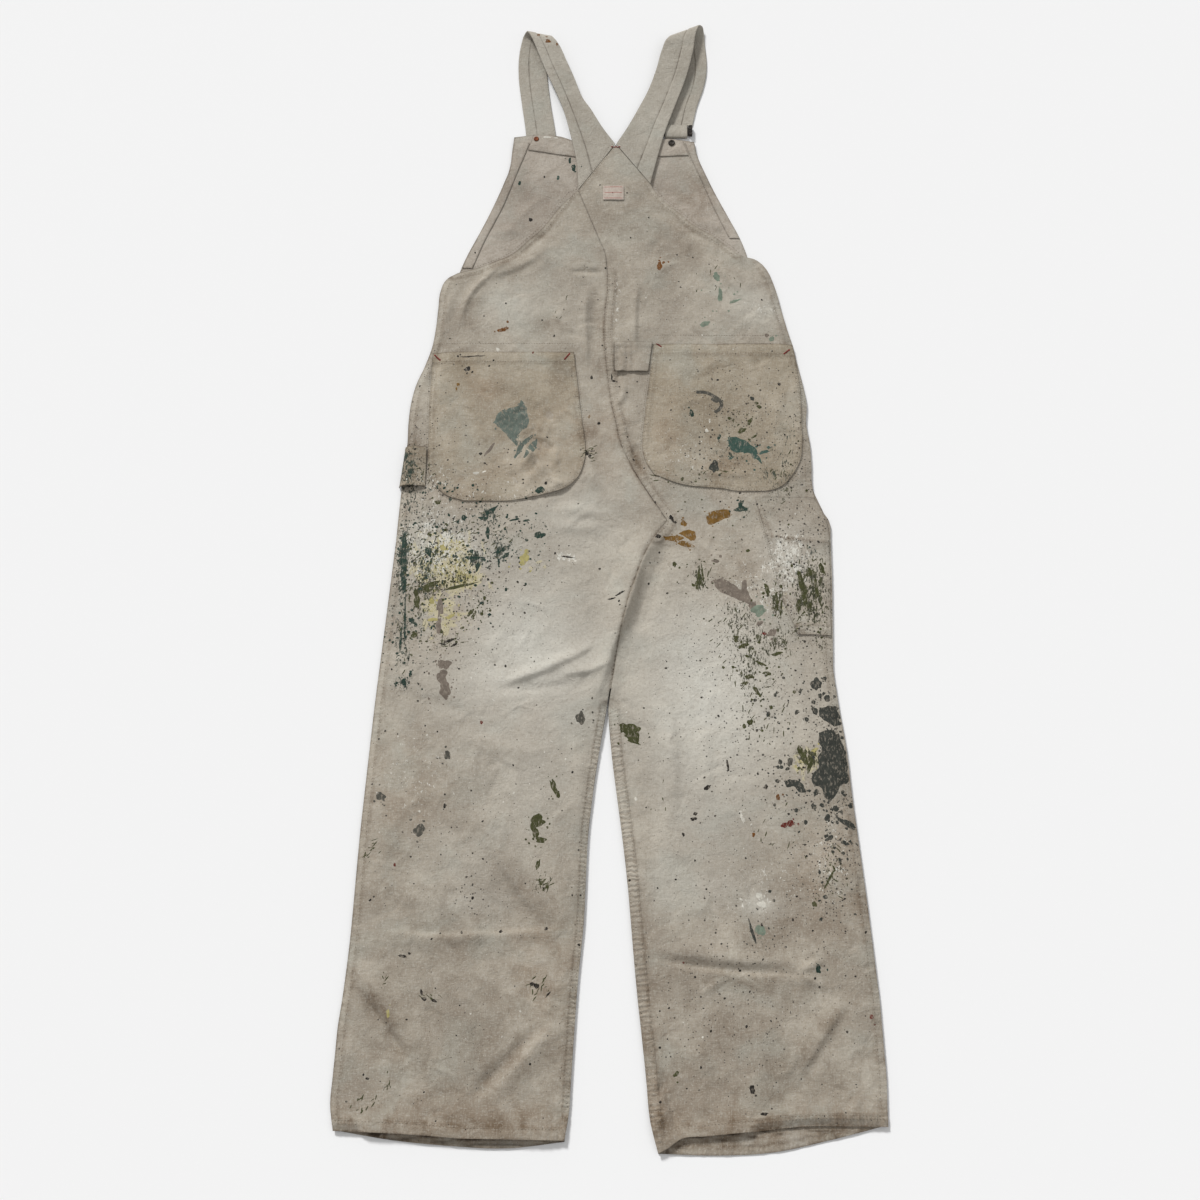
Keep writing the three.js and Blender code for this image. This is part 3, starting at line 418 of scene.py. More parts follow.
# Strokes of dry olive paint: centre x and y, width and height of their area, how many, turn in degrees.
SCRATCHES = [
    (-268, -397, 24, 22, 16, 40), (-71, -434, 20, 16, 14, 42), (-75, -546, 26, 20, 16, 60),
    (-196, -559, 20, 8, 8, -20), (-245, -538, 5, 10, 5, 70), (60, -340, 14, 20, 4, 80),
    (164, -200, 60, 70, 26, 60), (190, -250, 60, 70, 18, 75), (240, -80, 34, 80, 34, 75),
    (200, -110, 16, 50, 14, 80), (109, -71, 18, 32, 14, 82), (140, -140, 40, 50, 14, 50),
    (-216, -50, 70, 110, 60, 50), (-150, -20, 60, 60, 40, 30), (-240, -140, 16, 80, 14, 80),
    (250, -420, 26, 60, 20, -60), (128, 66, 40, 12, 12, 14), (216, 60, 30, 60, 16, 60),
    (-226, 60, 30, 50, 12, 60), (-260, -670, 24, 22, 12, 62), (-238, -656, 8, 26, 7, 70),
    (-20, 92, 24, 14, 16, 14), (180, -380, 70, 60, 10, 70), (-186, -152, 26, 10, 8, 20),
    (-60, 300, 40, 60, 5, 80), (60, 60, 40, 24, 6, 10), (140, 330, 60, 40, 8, 60),
    (225, -130, 24, 24, 8, 20),
]
# Scattered drops: seed, how many are tried, corners of their box, their sizes, the soft mark they follow.
SPATTERS = {
    "black": [(201, 4200, (-295, -700), (300, 540), (0.8, 2.8), "specks")],
    "olive": [
        (202, 1400, (40, -340), (275, 180), (0.9, 4.2), "olive_flecks"),
        (203, 900, (-270, -180), (-130, 0), (0.9, 4), "olive_flecks"),
    ],
    "deep_teal": [(204, 2000, (-270, -210), (-60, 100), (0.9, 3.8), "teal_flecks")],
    "white": [(205, 1700, (-290, -640), (295, 470), (0.8, 2.6), "white_flecks")],
    "slate": [(206, 1100, (150, -480), (285, -120), (1.0, 5), "slate_flecks")],
}

# ---------- curves and fields ----------


def distances(points):
    """How far along a line each of its points lies."""
    return np.concatenate([[0], np.cumsum(np.linalg.norm(np.diff(points, axis=0), axis=1))])


def curve_at(points, at, new):
    """Points of the smooth curve through some points, given how far along it those and the new ones lie."""
    slope = np.gradient(points, at, axis=0)
    i = np.clip(np.searchsorted(at, new, "right") - 1, 0, len(at) - 2)
    span = (at[i + 1] - at[i])[:, None]
    t = (new - at[i])[:, None] / span
    start = (1 + 2 * t) * (1 - t) ** 2 * points[i] + t * (1 - t) ** 2 * span * slope[i]
    return start + t * t * (3 - 2 * t) * points[i + 1] + t * t * (t - 1) * span * slope[i + 1]


def smooth_line(points, step=4.0):
    """A smooth curve through points, as points about one step apart."""
    points = np.array(points, float)
    at = distances(points)
    return curve_at(points, at, np.linspace(0, at[-1], max(1, round(at[-1] / step)) + 1))


def offset_line(line, by):
    """The line moved to its left by a distance."""
    along = np.gradient(line[:, :2], axis=0)
    along /= np.linalg.norm(along, axis=1)[:, None]
    return line[:, :2] + by * np.column_stack([-along[:, 1], along[:, 0]])


def near_line(x, y, line, reach):
    """For each point: its distance from the line (at most reach), how far along it is, and its side.

    The side is +1 to the right of the line and -1 to its left.
    """
    away = np.full(len(x), float(reach))
    along = np.zeros(len(x))
    side = np.zeros(len(x))
    start = 0.0
    for (x0, y0), (x1, y1) in zip(line[:-1, :2], line[1:, :2]):
        dx, dy = x1 - x0, y1 - y0
        length = math.hypot(dx, dy)
        close = np.flatnonzero(
            (x > min(x0, x1) - reach) & (x < max(x0, x1) + reach)
            & (y > min(y0, y1) - reach) & (y < max(y0, y1) + reach)
        )
        if len(close) and length > 0:
            px, py = x[close] - x0, y[close] - y0
            t = np.clip((px * dx + py * dy) / length**2, 0, 1)
            distance = np.hypot(px - t * dx, py - t * dy)
            nearer = distance < away[close]
            chosen = close[nearer]
            away[chosen] = distance[nearer]
            along[chosen] = start + t[nearer] * length
            side[chosen] = np.sign(px * dy - py * dx)[nearer]
        start += length
    return away, along, side


def ramp(values, low, high):
    """0 below low, 1 above high, and a soft step between."""
    t = np.clip((values - low) / (high - low), 0, 1)
    return t * t * (3 - 2 * t)


def ripples(x, y, size, seed):
    """Smooth random heights from -1 to 1 in patches of about that size."""
    table = np.random.default_rng(seed).uniform(-1, 1, (97, 89))
    u, v = np.asarray(x) / size + 40.0, np.asarray(y) / size + 40.0
    i, j = np.floor(u).astype(int), np.floor(v).astype(int)
    fu, fv = ramp(u - i, 0, 1), ramp(v - j, 0, 1)
    low = table[i % 97, j % 89] * (1 - fu) + table[(i + 1) % 97, j % 89] * fu
    high = table[i % 97, (j + 1) % 89] * (1 - fu) + table[(i + 1) % 97, (j + 1) % 89] * fu
    return low * (1 - fv) + high * fv


def crease_heights(x, y, creases):
    """The summed height of creases, which fade out at both ends and lean to one side."""
    z = np.zeros(len(x))
    for points, height, width, lean in creases:
        line = smooth_line(points)
        reach = 3.2 * width
        away, along, side = near_line(x, y, line, reach)
        length = np.linalg.norm(np.diff(line, axis=0), axis=1).sum()
        start, end = -0.02 * length, CREASE_FADE * length
        fade = ramp(along, start, end) * ramp(length - along, start, end)
        across = away / (width * (1 + lean * side))
        z += CREASE_RISE * height * fade * np.exp(-across**2) * (away < reach)
    return z


def stray_creases(seed, count, low, high, height, length):
    """Small random creases over a box, mostly slanting."""
    random = np.random.default_rng(seed)
    made = []
    for _ in range(count):
        x, y = random.uniform(low[0], high[0]), random.uniform(low[1], high[1])
        turn = random.choice([-1, 1]) * random.uniform(0.3, 1.5)
        reach = random.uniform(0.4, 1) * length
        bend = random.uniform(-0.25, 0.25) * reach
        ux, uy = math.cos(turn), math.sin(turn)
        points = [(x - ux * reach / 2, y - uy * reach / 2), (x - uy * bend, y + ux * bend),
                  (x + ux * reach / 2, y + uy * reach / 2)]
        size = random.uniform(0.35, 1) * height * random.choice([-1, 1, 1])
        made.append((points, size, random.uniform(2.5, 5.5), random.uniform(-0.4, 0.4)))
    return made


def field(name, x, y):
    """The strength of a soft mark at each point."""
    total = np.zeros(len(x))
    for cx, cy, across, along, turn, strength in FIELDS[name]:
        a = math.radians(turn)
        u = ((x - cx) * math.cos(a) + (y - cy) * math.sin(a)) / across
        v = ((y - cy) * math.cos(a) - (x - cx) * math.sin(a)) / along
        spot = strength * np.exp(-(u * u + v * v) * SPOT_FALL)
        total = np.maximum(total, spot) + SPOT_OVERLAP * np.minimum(total, spot)
    return total


# ---------- outlines and forms, read from the CAD nodes ----------


def upper_faces(node):
    """The upward faces of a CAD node: its points in millimetres, and triangles of their numbers."""
    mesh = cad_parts[node].data
    mesh.calc_loop_triangles()
    points = np.array([v.co for v in mesh.vertices]) / MM
    _, first, merged = np.unique(np.round(points, 2), axis=0, return_index=True, return_inverse=True)
    points = points[first]
    triangles = merged.ravel()[np.array([t.vertices[:] for t in mesh.loop_triangles])]
    a, b, c = (points[triangles[:, k]] for k in range(3))
    normal = np.cross(b - a, c - a)
    upward = normal[:, 2] > 0.35 * np.linalg.norm(normal, axis=1)
    return points, triangles[upward]


def node_outline(node):
    """The outline of a CAD panel seen from above, anticlockwise."""
    points, triangles = upper_faces(node)
    edges = {(int(t[k]), int(t[(k + 1) % 3])) for t in triangles for k in range(3)}
    following = {a: b for a, b in edges if (b, a) not in edges}
    loop = [min(following)]
    while following[loop[-1]] != loop[0]:
        loop.append(following[loop[-1]])
    return points[loop][:, :2]


def rounded(outline, step, corner=38):
    """A closed outline through the same points, smooth except at its corners."""
    before = outline - np.roll(outline, 1, axis=0)
    after = np.roll(outline, -1, axis=0) - outline
    turn = np.degrees(np.abs(np.angle(
        (after[:, 0] + 1j * after[:, 1]) / (before[:, 0] + 1j * before[:, 1]))))
    corners = list(np.flatnonzero(turn > corner)) or [0]
    parts = []
    for start, end in zip(corners, corners[1:] + [corners[0] + len(outline)]):
        stretch = outline[np.arange(start, end + 1) % len(outline)]
        parts.append(smooth_line(stretch, step)[:-1])
    return np.vstack(parts)


def run_of(outline, keep):
    """The longest run of an outline's points that pass a test, in order."""
    good = np.array([bool(keep(x, y)) for x, y in outline])
    if good.all():
        return outline
    shift = int(np.flatnonzero(~good)[0])
    good, points = np.roll(good, -shift), np.roll(outline, -shift, axis=0)
    best, start = (0, 0), None
    for i, g in enumerate(list(good) + [False]):
        if g and start is None:
            start = i
        if not g and start is not None:
            best = max(best, (i - start, start))
            start = None
    return points[best[1]:best[1] + best[0]]


def height_grid(tops, low, count, cell):
    """Which places of a grid lie under the upper faces of CAD nodes, and how high those are there."""
    trees = [BVHTree.FromPolygons(points.tolist(), faces.tolist()) for points, faces in tops]
    known, height = np.zeros(count), np.zeros(count)
    for i in range(count[0]):
        for j in range(count[1]):
            origin = Vector((low[0] + i * cell, low[1] + j * cell, 100))
            for tree in trees:
                hit = tree.ray_cast(origin, Vector((0, 0, -1)))[0]
                if hit is not None:
                    known[i, j], height[i, j] = 1, hit.z
    return known, height


def blur(grid, kernel):
    """The grid blurred along both of its axes."""
    for axis in (0, 1):
        grid = np.apply_along_axis(lambda row: np.convolve(row, kernel, "same"), axis, grid)
    return grid


def form_of(nodes, softness, cell=3.0):
    """A function for the height of the upper side of CAD nodes, softened over a distance.

    Beside the nodes, wider and wider blurs carry their height on.
    """
    tops = [upper_faces(node) for node in nodes]
    corners = np.vstack([points for points, _ in tops])
    low = corners.min(0)[:2] - 12 * cell
    count = ((corners.max(0)[:2] - low) / cell).astype(int) + 14
    known, height = height_grid(tops, low, count, cell)
    filled, weight_left = np.zeros(count), np.ones(count)
    for width in (softness / cell, 4, 9):
        reach = int(3 * width) + 1
        kernel = np.exp(-0.5 * (np.arange(-reach, reach + 1) / width) ** 2)
        weight, total = blur(known, kernel), blur(known * height, kernel)
        share = weight_left * np.clip(weight / kernel.sum() ** 2 * 12, 0, 1)
        filled += share * total / np.maximum(weight, 1e-9)
        weight_left -= share
    filled += weight_left * height.max() * 0.5

    def height_at(x, y):
        u = np.clip((np.asarray(x) - low[0]) / cell, 0, count[0] - 1.001)
        v = np.clip((np.asarray(y) - low[1]) / cell, 0, count[1] - 1.001)
        i, j = u.astype(int), v.astype(int)
        fu, fv = u - i, v - j
        left = filled[i, j] * (1 - fv) + filled[i, j + 1] * fv
        right = filled[i + 1, j] * (1 - fv) + filled[i + 1, j + 1] * fv
        return left * (1 - fu) + right * fu
    return height_at


# ---------- thin cloth ----------


def inside(x, y, outline):
    """Whether each point lies inside a closed outline."""
    hit = np.zeros(len(x), bool)
    for (x0, y0), (x1, y1) in zip(outline, np.roll(outline, -1, axis=0)):
        if y0 != y1:
            hit ^= ((y0 > y) != (y1 > y)) & (x < x0 + (y - y0) / (y1 - y0) * (x1 - x0))
    return hit


def triangulate(outline, spacing, rows=()):
    """Even triangles inside an outline, with extra points along rows. The outline's points come first."""
    low, high = outline.min(0), outline.max(0)
    ys = np.arange(low[1], high[1], spacing * 0.866)
    xs = np.arange(low[0], high[0] + spacing, spacing)
    x = (xs[None, :] + (np.arange(len(ys)) % 2)[:, None] * spacing / 2).ravel()
    spots = np.column_stack([x, np.repeat(ys, len(xs))])
    closed = np.vstack([outline, outline[:1]])

    def clear_of(points, line, gap):
        return points[near_line(points[:, 0], points[:, 1], line, gap)[0] >= gap]
    for row in rows:
        spots = clear_of(spots, row, 0.45 * spacing)
    extra = [clear_of(row, closed, 0.5) for row in rows]
    spots = np.vstack([clear_of(spots, closed, 0.6 * spacing)] + [row for row in extra if len(row)])
    spots = spots[inside(spots[:, 0], spots[:, 1], outline)]
    count = len(outline)
    points = [Vector(p) for p in np.vstack([outline, spots]).tolist()]
    edges = [(i, (i + 1) % count) for i in range(count)]
    found = delaunay_2d_cdt(points, edges, [], 1, 1e-4, False)
    flat, faces = np.array([tuple(p) for p in found[0]]), np.array(found[2])
    middle = flat[faces].mean(axis=1)
    return flat, faces[inside(middle[:, 0], middle[:, 1], outline)]


def lowest_near(points, heights, places, reach):
    """The lowest height among points within reach of each place."""
    low = np.vstack([points, places]).min(0) - 2 * reach
    cells = ((np.vstack([points, places]).max(0) - low) / reach).astype(int) + 3
    floor = np.full(cells, 1e9)
    i, j = ((points - low) / reach).astype(int).T
    np.minimum.at(floor, (i, j), heights)
    i, j = ((places - low) / reach).astype(int).T
    return np.min([floor[i + a, j + b] for a in (-1, 0, 1) for b in (-1, 0, 1)], axis=0)


surfaces = []  # the upper faces of every cloth piece, for what is laid on them
MARKS = list(FIELDS)


def add_mesh(name, points, faces, material, smooth_below=50):
    """A mesh object from points in millimetres, smooth where its faces meet below an angle."""
    mesh = bpy.data.meshes.new(name)
    mesh.from_pydata((np.asarray(points) * MM).tolist(), [], [list(map(int, f)) for f in faces])
    mesh.materials.append(material)
    mesh.shade_smooth()
    mesh.set_sharp_from_angle(angle=math.radians(smooth_below))
    piece = bpy.data.objects.new(name, mesh)
    bpy.context.scene.collection.objects.link(piece)
    return piece


def mark(piece, points, seams=None):
    """Gives a cloth piece its soft marks, and what its seams do to it, as point attributes."""
    seams = seams or {}
    layers = {name: field(name, points[:, 0], points[:, 1]) + seams.get(name, 0) for name in MARKS}
    layers.update((name, values) for name, values in seams.items() if name not in MARKS)
    for name, values in layers.items():
        layer = piece.data.attributes.new(name, "FLOAT", "POINT")
        layer.data.foreach_set("value", values.astype(np.float32))


def sew_in(piece, nodes):
    """The piece rides with the part, and stands for CAD nodes."""
    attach(piece, "root")
    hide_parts(*nodes)
    return piece


def cloth_shell(name, node, outline, top, material, spacing=FINE, rows=(), thickness=CLOTH,
                seams=None, rim_shade=0.75):
    """A closed thin cloth inside an outline, whose upper side follows top(x, y)."""
    flat, faces = triangulate(outline, spacing, rows)
    count = len(outline)
    z = top(flat[:, 0], flat[:, 1])
    z[:count] -= 0.3 * thickness
    under, under_faces = triangulate(outline, 3 * spacing)
    low = lowest_near(flat, z, under, 3 * spacing) - thickness
    low[:count] = z[:count] - 0.5 * thickness
    low = np.maximum(low, 0.0)
    points = np.vstack([np.column_stack([flat, z]), np.column_stack([under, low])])
    turned = under_faces[:, ::-1] + len(flat)
    step = np.roll(np.arange(count), -1)
    rim = [(len(flat) + i, len(flat) + step[i], step[i], i) for i in range(count)]
    piece = add_mesh(name, points, list(faces) + list(turned) + rim, material)
    surfaces.append((points[:len(flat)], faces))
    marks = seams(points[:, 0], points[:, 1]) if seams else {"edge": np.zeros(len(points))}
    # Painted shade along the cloth's cut edge.
    marks["edge"][:count] = rim_shade
    mark(piece, points, marks)
    return sew_in(piece, [node])


def band_faces(rows, across):
    """The faces of a closed band, whose points are an outer grid and then an inner one."""
    size = rows * across
    number = np.arange(size).reshape(rows, across)
    faces = []
    for r in range(rows - 1):
        for c in range(across - 1):
            a, b, d, e = number[r, c], number[r, c + 1], number[r + 1, c + 1], number[r + 1, c]
            faces += [(a, b, d, e), (a + size, e + size, d + size, b + size)]
        for a, b in ((number[r, 0], number[r + 1, 0]), (number[r + 1, -1], number[r, -1])):
            faces.append((a, b, b + size, a + size))
    for c in range(across - 1):
        for a, b in ((number[0, c + 1], number[0, c]), (number[-1, c], number[-1, c + 1])):
            faces.append((a, b, b + size, a + size))
    return faces


def swept_band(name, node, stations, profile, thickness, material, across=14, step=4.0, seam_at=None,
               rim_shade=0.55):
    """A closed band of cloth.

    Each station gives its two edges, and profile(t, along) says how far its outer face stands out.
    """
    path = np.array([list(a) + list(b) for a, b in stations], float)
    at = distances((path[:, :3] + path[:, 3:]) / 2)
    new = np.linspace(0, at[-1], round(at[-1] / step) + 1)
    path = curve_at(path, at, new)
    t = np.linspace(0, 1, across)
    grid = path[:, None, :3] * (1 - t)[None, :, None] + path[:, None, 3:] * t[None, :, None]
    wide = path[:, 3:] - path[:, :3]
    normal = np.cross(wide, np.gradient((path[:, :3] + path[:, 3:]) / 2, axis=0))
    normal /= np.linalg.norm(normal, axis=1)[:, None]
    stand = profile(t[None, :], new[:, None]) + np.zeros((len(new), across))
    at_edge = np.abs(2 * t - 1) > 0.97
    half = thickness / 2 * (1 - 0.45 * at_edge)  # the two edges are turned, and so round
    outer = grid + normal[:, None, :] * (half[None, :] + stand)[:, :, None]
    inner = grid - normal[:, None, :] * half[None, :, None]
    for side in (outer, inner):
        side[:, :, 2] = np.maximum(side[:, :, 2], 0.02)
    points = np.vstack([outer.reshape(-1, 3), inner.reshape(-1, 3)])
    faces = band_faces(len(new), across)
    piece = add_mesh(name, points, faces, material)
    size = len(new) * across
    quads = np.array([f for f in faces if max(f) < size])
    for side in (0, size):
        surfaces.append((points, np.vstack([quads[:, :3], quads[:, [0, 2, 3]]]) + side))
    # Painted shade along the band's turned edges, and a painted shadow line in its seam groove.
    edge = rim_shade * at_edge
    if seam_at:
        edge = np.maximum(edge, np.exp(-((t - seam_at) / 0.024) ** 2))
    mark(piece, points, {"edge": np.tile(edge, 2 * len(new))})
    return sew_in(piece, [node])


# ---------- materials ----------


def add_node(tree, kind, values=None, **settings):
    """A shader node with its settings, and its inputs as values or links."""
    made = tree.nodes.new("ShaderNode" + kind)
    for key, value in settings.items():
        setattr(made, key, value)
    for socket, value in (values or {}).items():
        if isinstance(value, bpy.types.NodeSocket):
            tree.links.new(value, made.inputs[socket])
        else:
            made.inputs[socket].default_value = value
    return made


def calc(tree, operation, a, b=0.0, clamp=False):
    """A sum, a product or the like of two values."""
    return add_node(tree, "Math", {0: a, 1: b}, operation=operation, use_clamp=clamp).outputs[0]


def blend(tree, factor, a, b):
    """A colour between a, at factor 0, and b, at factor 1."""
    return add_node(tree, "Mix", {0: factor, 6: a, 7: b}, data_type="RGBA").outputs[2]


def noise(tree, place, scale, detail=3.0, roughness=0.55, distortion=0.0):
    """Smooth random patches, from 0 to 1."""
    values = {"Vector": place, "Scale": scale, "Detail": detail, "Roughness": roughness,
              "Distortion": distortion}
    return add_node(tree, "TexNoise", values).outputs["Fac"]


def moved(tree, place, shift, stretch=(1, 1, 1), turn=0.0):
    """The place coordinates shifted, stretched and turned about Z."""
    values = {"Vector": place, "Location": shift, "Scale": stretch, "Rotation": (0, 0, turn)}
    return add_node(tree, "Mapping", values).outputs[0]


def spread(tree, value, low, high):
    """0 below low and 1 above high."""
    return add_node(tree, "MapRange", {0: value, 1: low, 2: high}).outputs[0]


def new_material(name, roughness, metallic=0.0):
    """A material, its node tree and its shader."""
    material = bpy.data.materials.new(name)
    material.use_nodes = True
    shader = material.node_tree.nodes["Principled BSDF"]
    shader.inputs["Roughness"].default_value = roughness
    shader.inputs["Metallic"].default_value = metallic
    return material, material.node_tree, shader


# Flecks of dry paint: mark, colour, size of the flecks (per metre), stretch, how dense they can get.
FLECKS = [
    ("ochre_flecks", rgb(184, 175, 146), 70, (1, 0.8, 1), 0.52),
    ("ochre_flecks", rgb(164, 155, 106), 210, (1.3, 0.7, 1), 0.30),
    ("white_flecks", rgb(205, 202, 192), 240, (1.3, 0.8, 1), 0.37),
    ("slate_flecks", PAINT_COLOURS["slate"], 190, (1, 0.8, 1), 0.28),
    ("olive_flecks", PAINT_COLOURS["olive"], 150, (1.5, 0.6, 1), 0.31),
    ("olive_flecks", rgb(52, 54, 34), 300, (1.6, 0.6, 1), 0.36),
    ("teal_flecks", PAINT_COLOURS["deep_teal"], 160, (1.4, 0.6, 1), 0.31),
    ("teal_flecks", rgb(44, 56, 48), 310, (1.5, 0.6, 1), 0.38),
]


def weave(tree, place):
    """The drill's diagonal ribs and its uneven yarns, as heights."""
    ribs = add_node(tree, "TexWave", {
        "Vector": moved(tree, place, (0, 0, 0), (1, 1, 1), RIB_TURN), "Scale": 420.0, "Distortion": 1.2,
        "Detail": 1.0, "Detail Scale": 2.0}, wave_type="BANDS", bands_direction="X").outputs["Fac"]
    yarns_up = noise(tree, moved(tree, place, (3, 1, 0), (7, 1, 1)), 110.0, 2.0)
    yarns_across = noise(tree, moved(tree, place, (1, 4, 0), (1, 7, 1)), 110.0, 2.0)
    return ribs, calc(tree, "MULTIPLY", calc(tree, "ADD", yarns_up, yarns_across), 0.5)


def attribute(tree, name):
    """What a point of the cloth holds under a name: a soft mark, or what its seams do to it."""
    return add_node(tree, "Attribute", attribute_name=name).outputs["Fac"]


def tinted(tree, colour, factor, most, paint):
    """The colour turned towards a paint by a factor, and at most by a share."""
    return blend(tree, calc(tree, "MULTIPLY", factor, most, True), colour, paint)


def stained_ground(tree, place, tint, shade, yarn):
    """The cloth's own uneven colour with its soft stains and its painted shade in creases and beside seams,
    and the patterns "patchy" and "fine" in it.
    """
    broad = noise(tree, place, 10.0, 4.0, 0.6)
    patchy = noise(tree, moved(tree, place, (7, 2, 0)), 36.0, 6.0, 0.7, 0.6)
    cool = noise(tree, moved(tree, place, (1, 5, 0)), 15.0, 4.0, 0.6, 0.5)
    fine = noise(tree, moved(tree, place, (2, 9, 0)), 300.0, 4.0, 0.75)
    nubs = noise(tree, moved(tree, place, (6, 6, 0)), 520.0, 2.0, 0.6)
    pale = calc(tree, "MULTIPLY", attribute(tree, "pale"), calc(tree, "ADD", patchy, 0.35))
    tan = calc(tree, "MULTIPLY", attribute(tree, "tan"), spread(tree, patchy, 0.3, 0.62))
    # Grime, with painted shade in creases and beside seams.
    dirt_and_shade = calc(tree, "MULTIPLY", attribute(tree, "dirt_and_shade"), spread(tree, patchy, 0.28, 0.68))
    colour = blend(tree, spread(tree, broad, 0.34, 0.62), shade, tint)
    for factor, most, paint in (
        (spread(tree, patchy, 0.44, 0.68), 0.6, shade),
        (spread(tree, cool, 0.5, 0.66), 0.4, COOL),
        (pale, 1.0, PALE),
        (tan, 0.55, TAN),
        (dirt_and_shade, 0.95, GRIME_AND_SHADE),
        (spread(tree, fine, 0.5, 0.72), 0.34, GRIME_AND_SHADE),
        (spread(tree, yarn, 0.5, 0.62), 0.16, PALE),
        (spread(tree, nubs, 0.56, 0.7), 0.26, PALE),
    ):
        colour = tinted(tree, colour, factor, most, paint)
    return colour, patchy, fine


def with_seams(tree, place, colour, patchy):
    """The colour with painted shadow lines along seams and rims and painted shade in the puckers' hollows,
    and the height of the puckers.
    """
    # Painted shadow lines along seams and cut edges.
    edge = calc(tree, "POWER", attribute(tree, "edge"), 2.0)
    edge = calc(tree, "MULTIPLY", edge, calc(tree, "ADD", spread(tree, patchy, 0.35, 0.6), 0.4))
    colour = tinted(tree, colour, edge, 0.72, PAINTED_EDGE_SHADE)
    run = calc(tree, "ADD", calc(tree, "MULTIPLY", attribute(tree, "along"), 2 * math.pi / PUCKER_PITCH),
               calc(tree, "MULTIPLY", noise(tree, place, 90.0), 14.0))
    pucker = calc(tree, "MULTIPLY", calc(tree, "SINE", run), attribute(tree, "puckered"))
    # Painted shade in the low half of each pucker's wave.
    return tinted(tree, colour, spread(tree, pucker, -0.1, -0.8), 0.4, GRIME_AND_SHADE), pucker


def with_flecks(tree, place, colour):
    """The colour with flecks of dry paint over it, and how far they are raised."""
    raised = 0.0
    clumps = spread(tree, noise(tree, moved(tree, place, (8, 3, 0)), 70.0, 4.0, 0.6, 0.8), 0.36, 0.6)
    clumps = calc(tree, "ADD", calc(tree, "MULTIPLY", clumps, 0.5), 0.6)
    for i, (mark_name, paint, scale, stretch, most) in enumerate(FLECKS):
        density = calc(tree, "MULTIPLY", attribute(tree, mark_name), clumps)
        shifted = moved(tree, place, (3.1 * i, 1.7 * i, 0), stretch, 0.4 - 0.2 * i)
        grain = noise(tree, shifted, scale, 4.0, 0.66, 0.7)
        limit = calc(tree, "SUBTRACT", 0.75, calc(tree, "MULTIPLY", density, most))
        cover = calc(tree, "MULTIPLY", calc(tree, "SUBTRACT", grain, limit), 24.0, True)
        cover = calc(tree, "MULTIPLY", cover, spread(tree, density, 0.05, 0.2))
        colour = tinted(tree, colour, cover, 0.9, paint)
        raised = calc(tree, "ADD", raised, cover)
    return colour, raised


def with_specks(tree, place, colour):
    """The colour with fine dark specks, more of them where the mark "specks" is strong."""
    density = calc(tree, "ADD", calc(tree, "MULTIPLY", attribute(tree, "specks"), 0.6), 0.12)
    for scale, seed, most in ((330.0, 1, 0.34), (170.0, 5, 0.26)):
        cells = add_node(tree, "TexVoronoi", {
            "Vector": moved(tree, place, (seed, 2 * seed, 0)), "Scale": scale, "Randomness": 1.0})
        chance = add_node(tree, "SeparateColor", {0: cells.outputs["Color"]}).outputs[0]
        reach = calc(tree, "MULTIPLY", calc(tree, "SUBTRACT", density, chance), 2.0, True)
        reach = calc(tree, "MULTIPLY", reach, most)
        dot = calc(tree, "MULTIPLY", calc(tree, "SUBTRACT", reach, cells.outputs["Distance"]), 14.0, True)
        colour = tinted(tree, colour, dot, 0.85, PAINT_COLOURS["black"])
    return colour


def drill(name, tint, shade):
    """Worn cotton drill: mottled, stained and painted with shade where the marks say, flecked and specked
    with paint.
    """
    material, tree, shader = new_material(name, 0.9)
    place = add_node(tree, "TexCoord").outputs["Object"]
    ribs, yarn = weave(tree, place)
    colour, patchy, fine = stained_ground(tree, place, tint, shade, yarn)
    colour, pucker = with_seams(tree, place, colour, patchy)
    colour, raised = with_flecks(tree, place, colour)
    tree.links.new(with_specks(tree, place, colour), shader.inputs["Base Color"])
    crumple = noise(tree, moved(tree, place, (5, 5, 0)), 62.0, 5.0, 0.64, 0.8)
    height = calc(tree, "ADD", calc(tree, "MULTIPLY", ribs, 0.05), calc(tree, "MULTIPLY", crumple, 1.9))
    for part, rise in ((yarn, 0.3), (fine, 0.35), (raised, 0.1), (pucker, 0.42)):
        height = calc(tree, "ADD", height, calc(tree, "MULTIPLY", part, rise))
    bump = add_node(tree, "Bump", {"Height": height, "Strength": 0.75, "Distance": 0.0013})
    tree.links.new(bump.outputs[0], shader.inputs["Normal"])
    shader.inputs["Sheen Weight"].default_value = 0.1
    shader.inputs["Specular IOR Level"].default_value = 0.2
    return material


def paint_film(name, colour):
    """Dried house paint in the weave: uneven in tone, worn through to the cloth in places."""
    material, tree, shader = new_material(name, 0.7)
    place = add_node(tree, "TexCoord").outputs["Object"]
    ribs = weave(tree, place)[0]
    tone = noise(tree, place, 150.0, 5.0, 0.66, 0.5)
    dark, light = ([c * by for c in colour[:3]] + [1] for by in (0.8, 1.2))
    mixed = blend(tree, spread(tree, tone, 0.38, 0.64), dark, light)
    worn = noise(tree, moved(tree, place, (4, 4, 0), (1.5, 0.7, 1)), 300.0, 5.0, 0.72)
    mixed = blend(tree, calc(tree, "MULTIPLY", spread(tree, worn, 0.53, 0.62), 0.62), mixed, ECRU_SHADE)
    tree.links.new(mixed, shader.inputs["Base Color"])
    height = calc(tree, "ADD", calc(tree, "MULTIPLY", ribs, 0.1), tone)
    bump = add_node(tree, "Bump", {"Height": height, "Strength": 0.4, "Distance": 0.0005})
    tree.links.new(bump.outputs[0], shader.inputs["Normal"])
    shader.inputs["Specular IOR Level"].default_value = 0.15
    return material


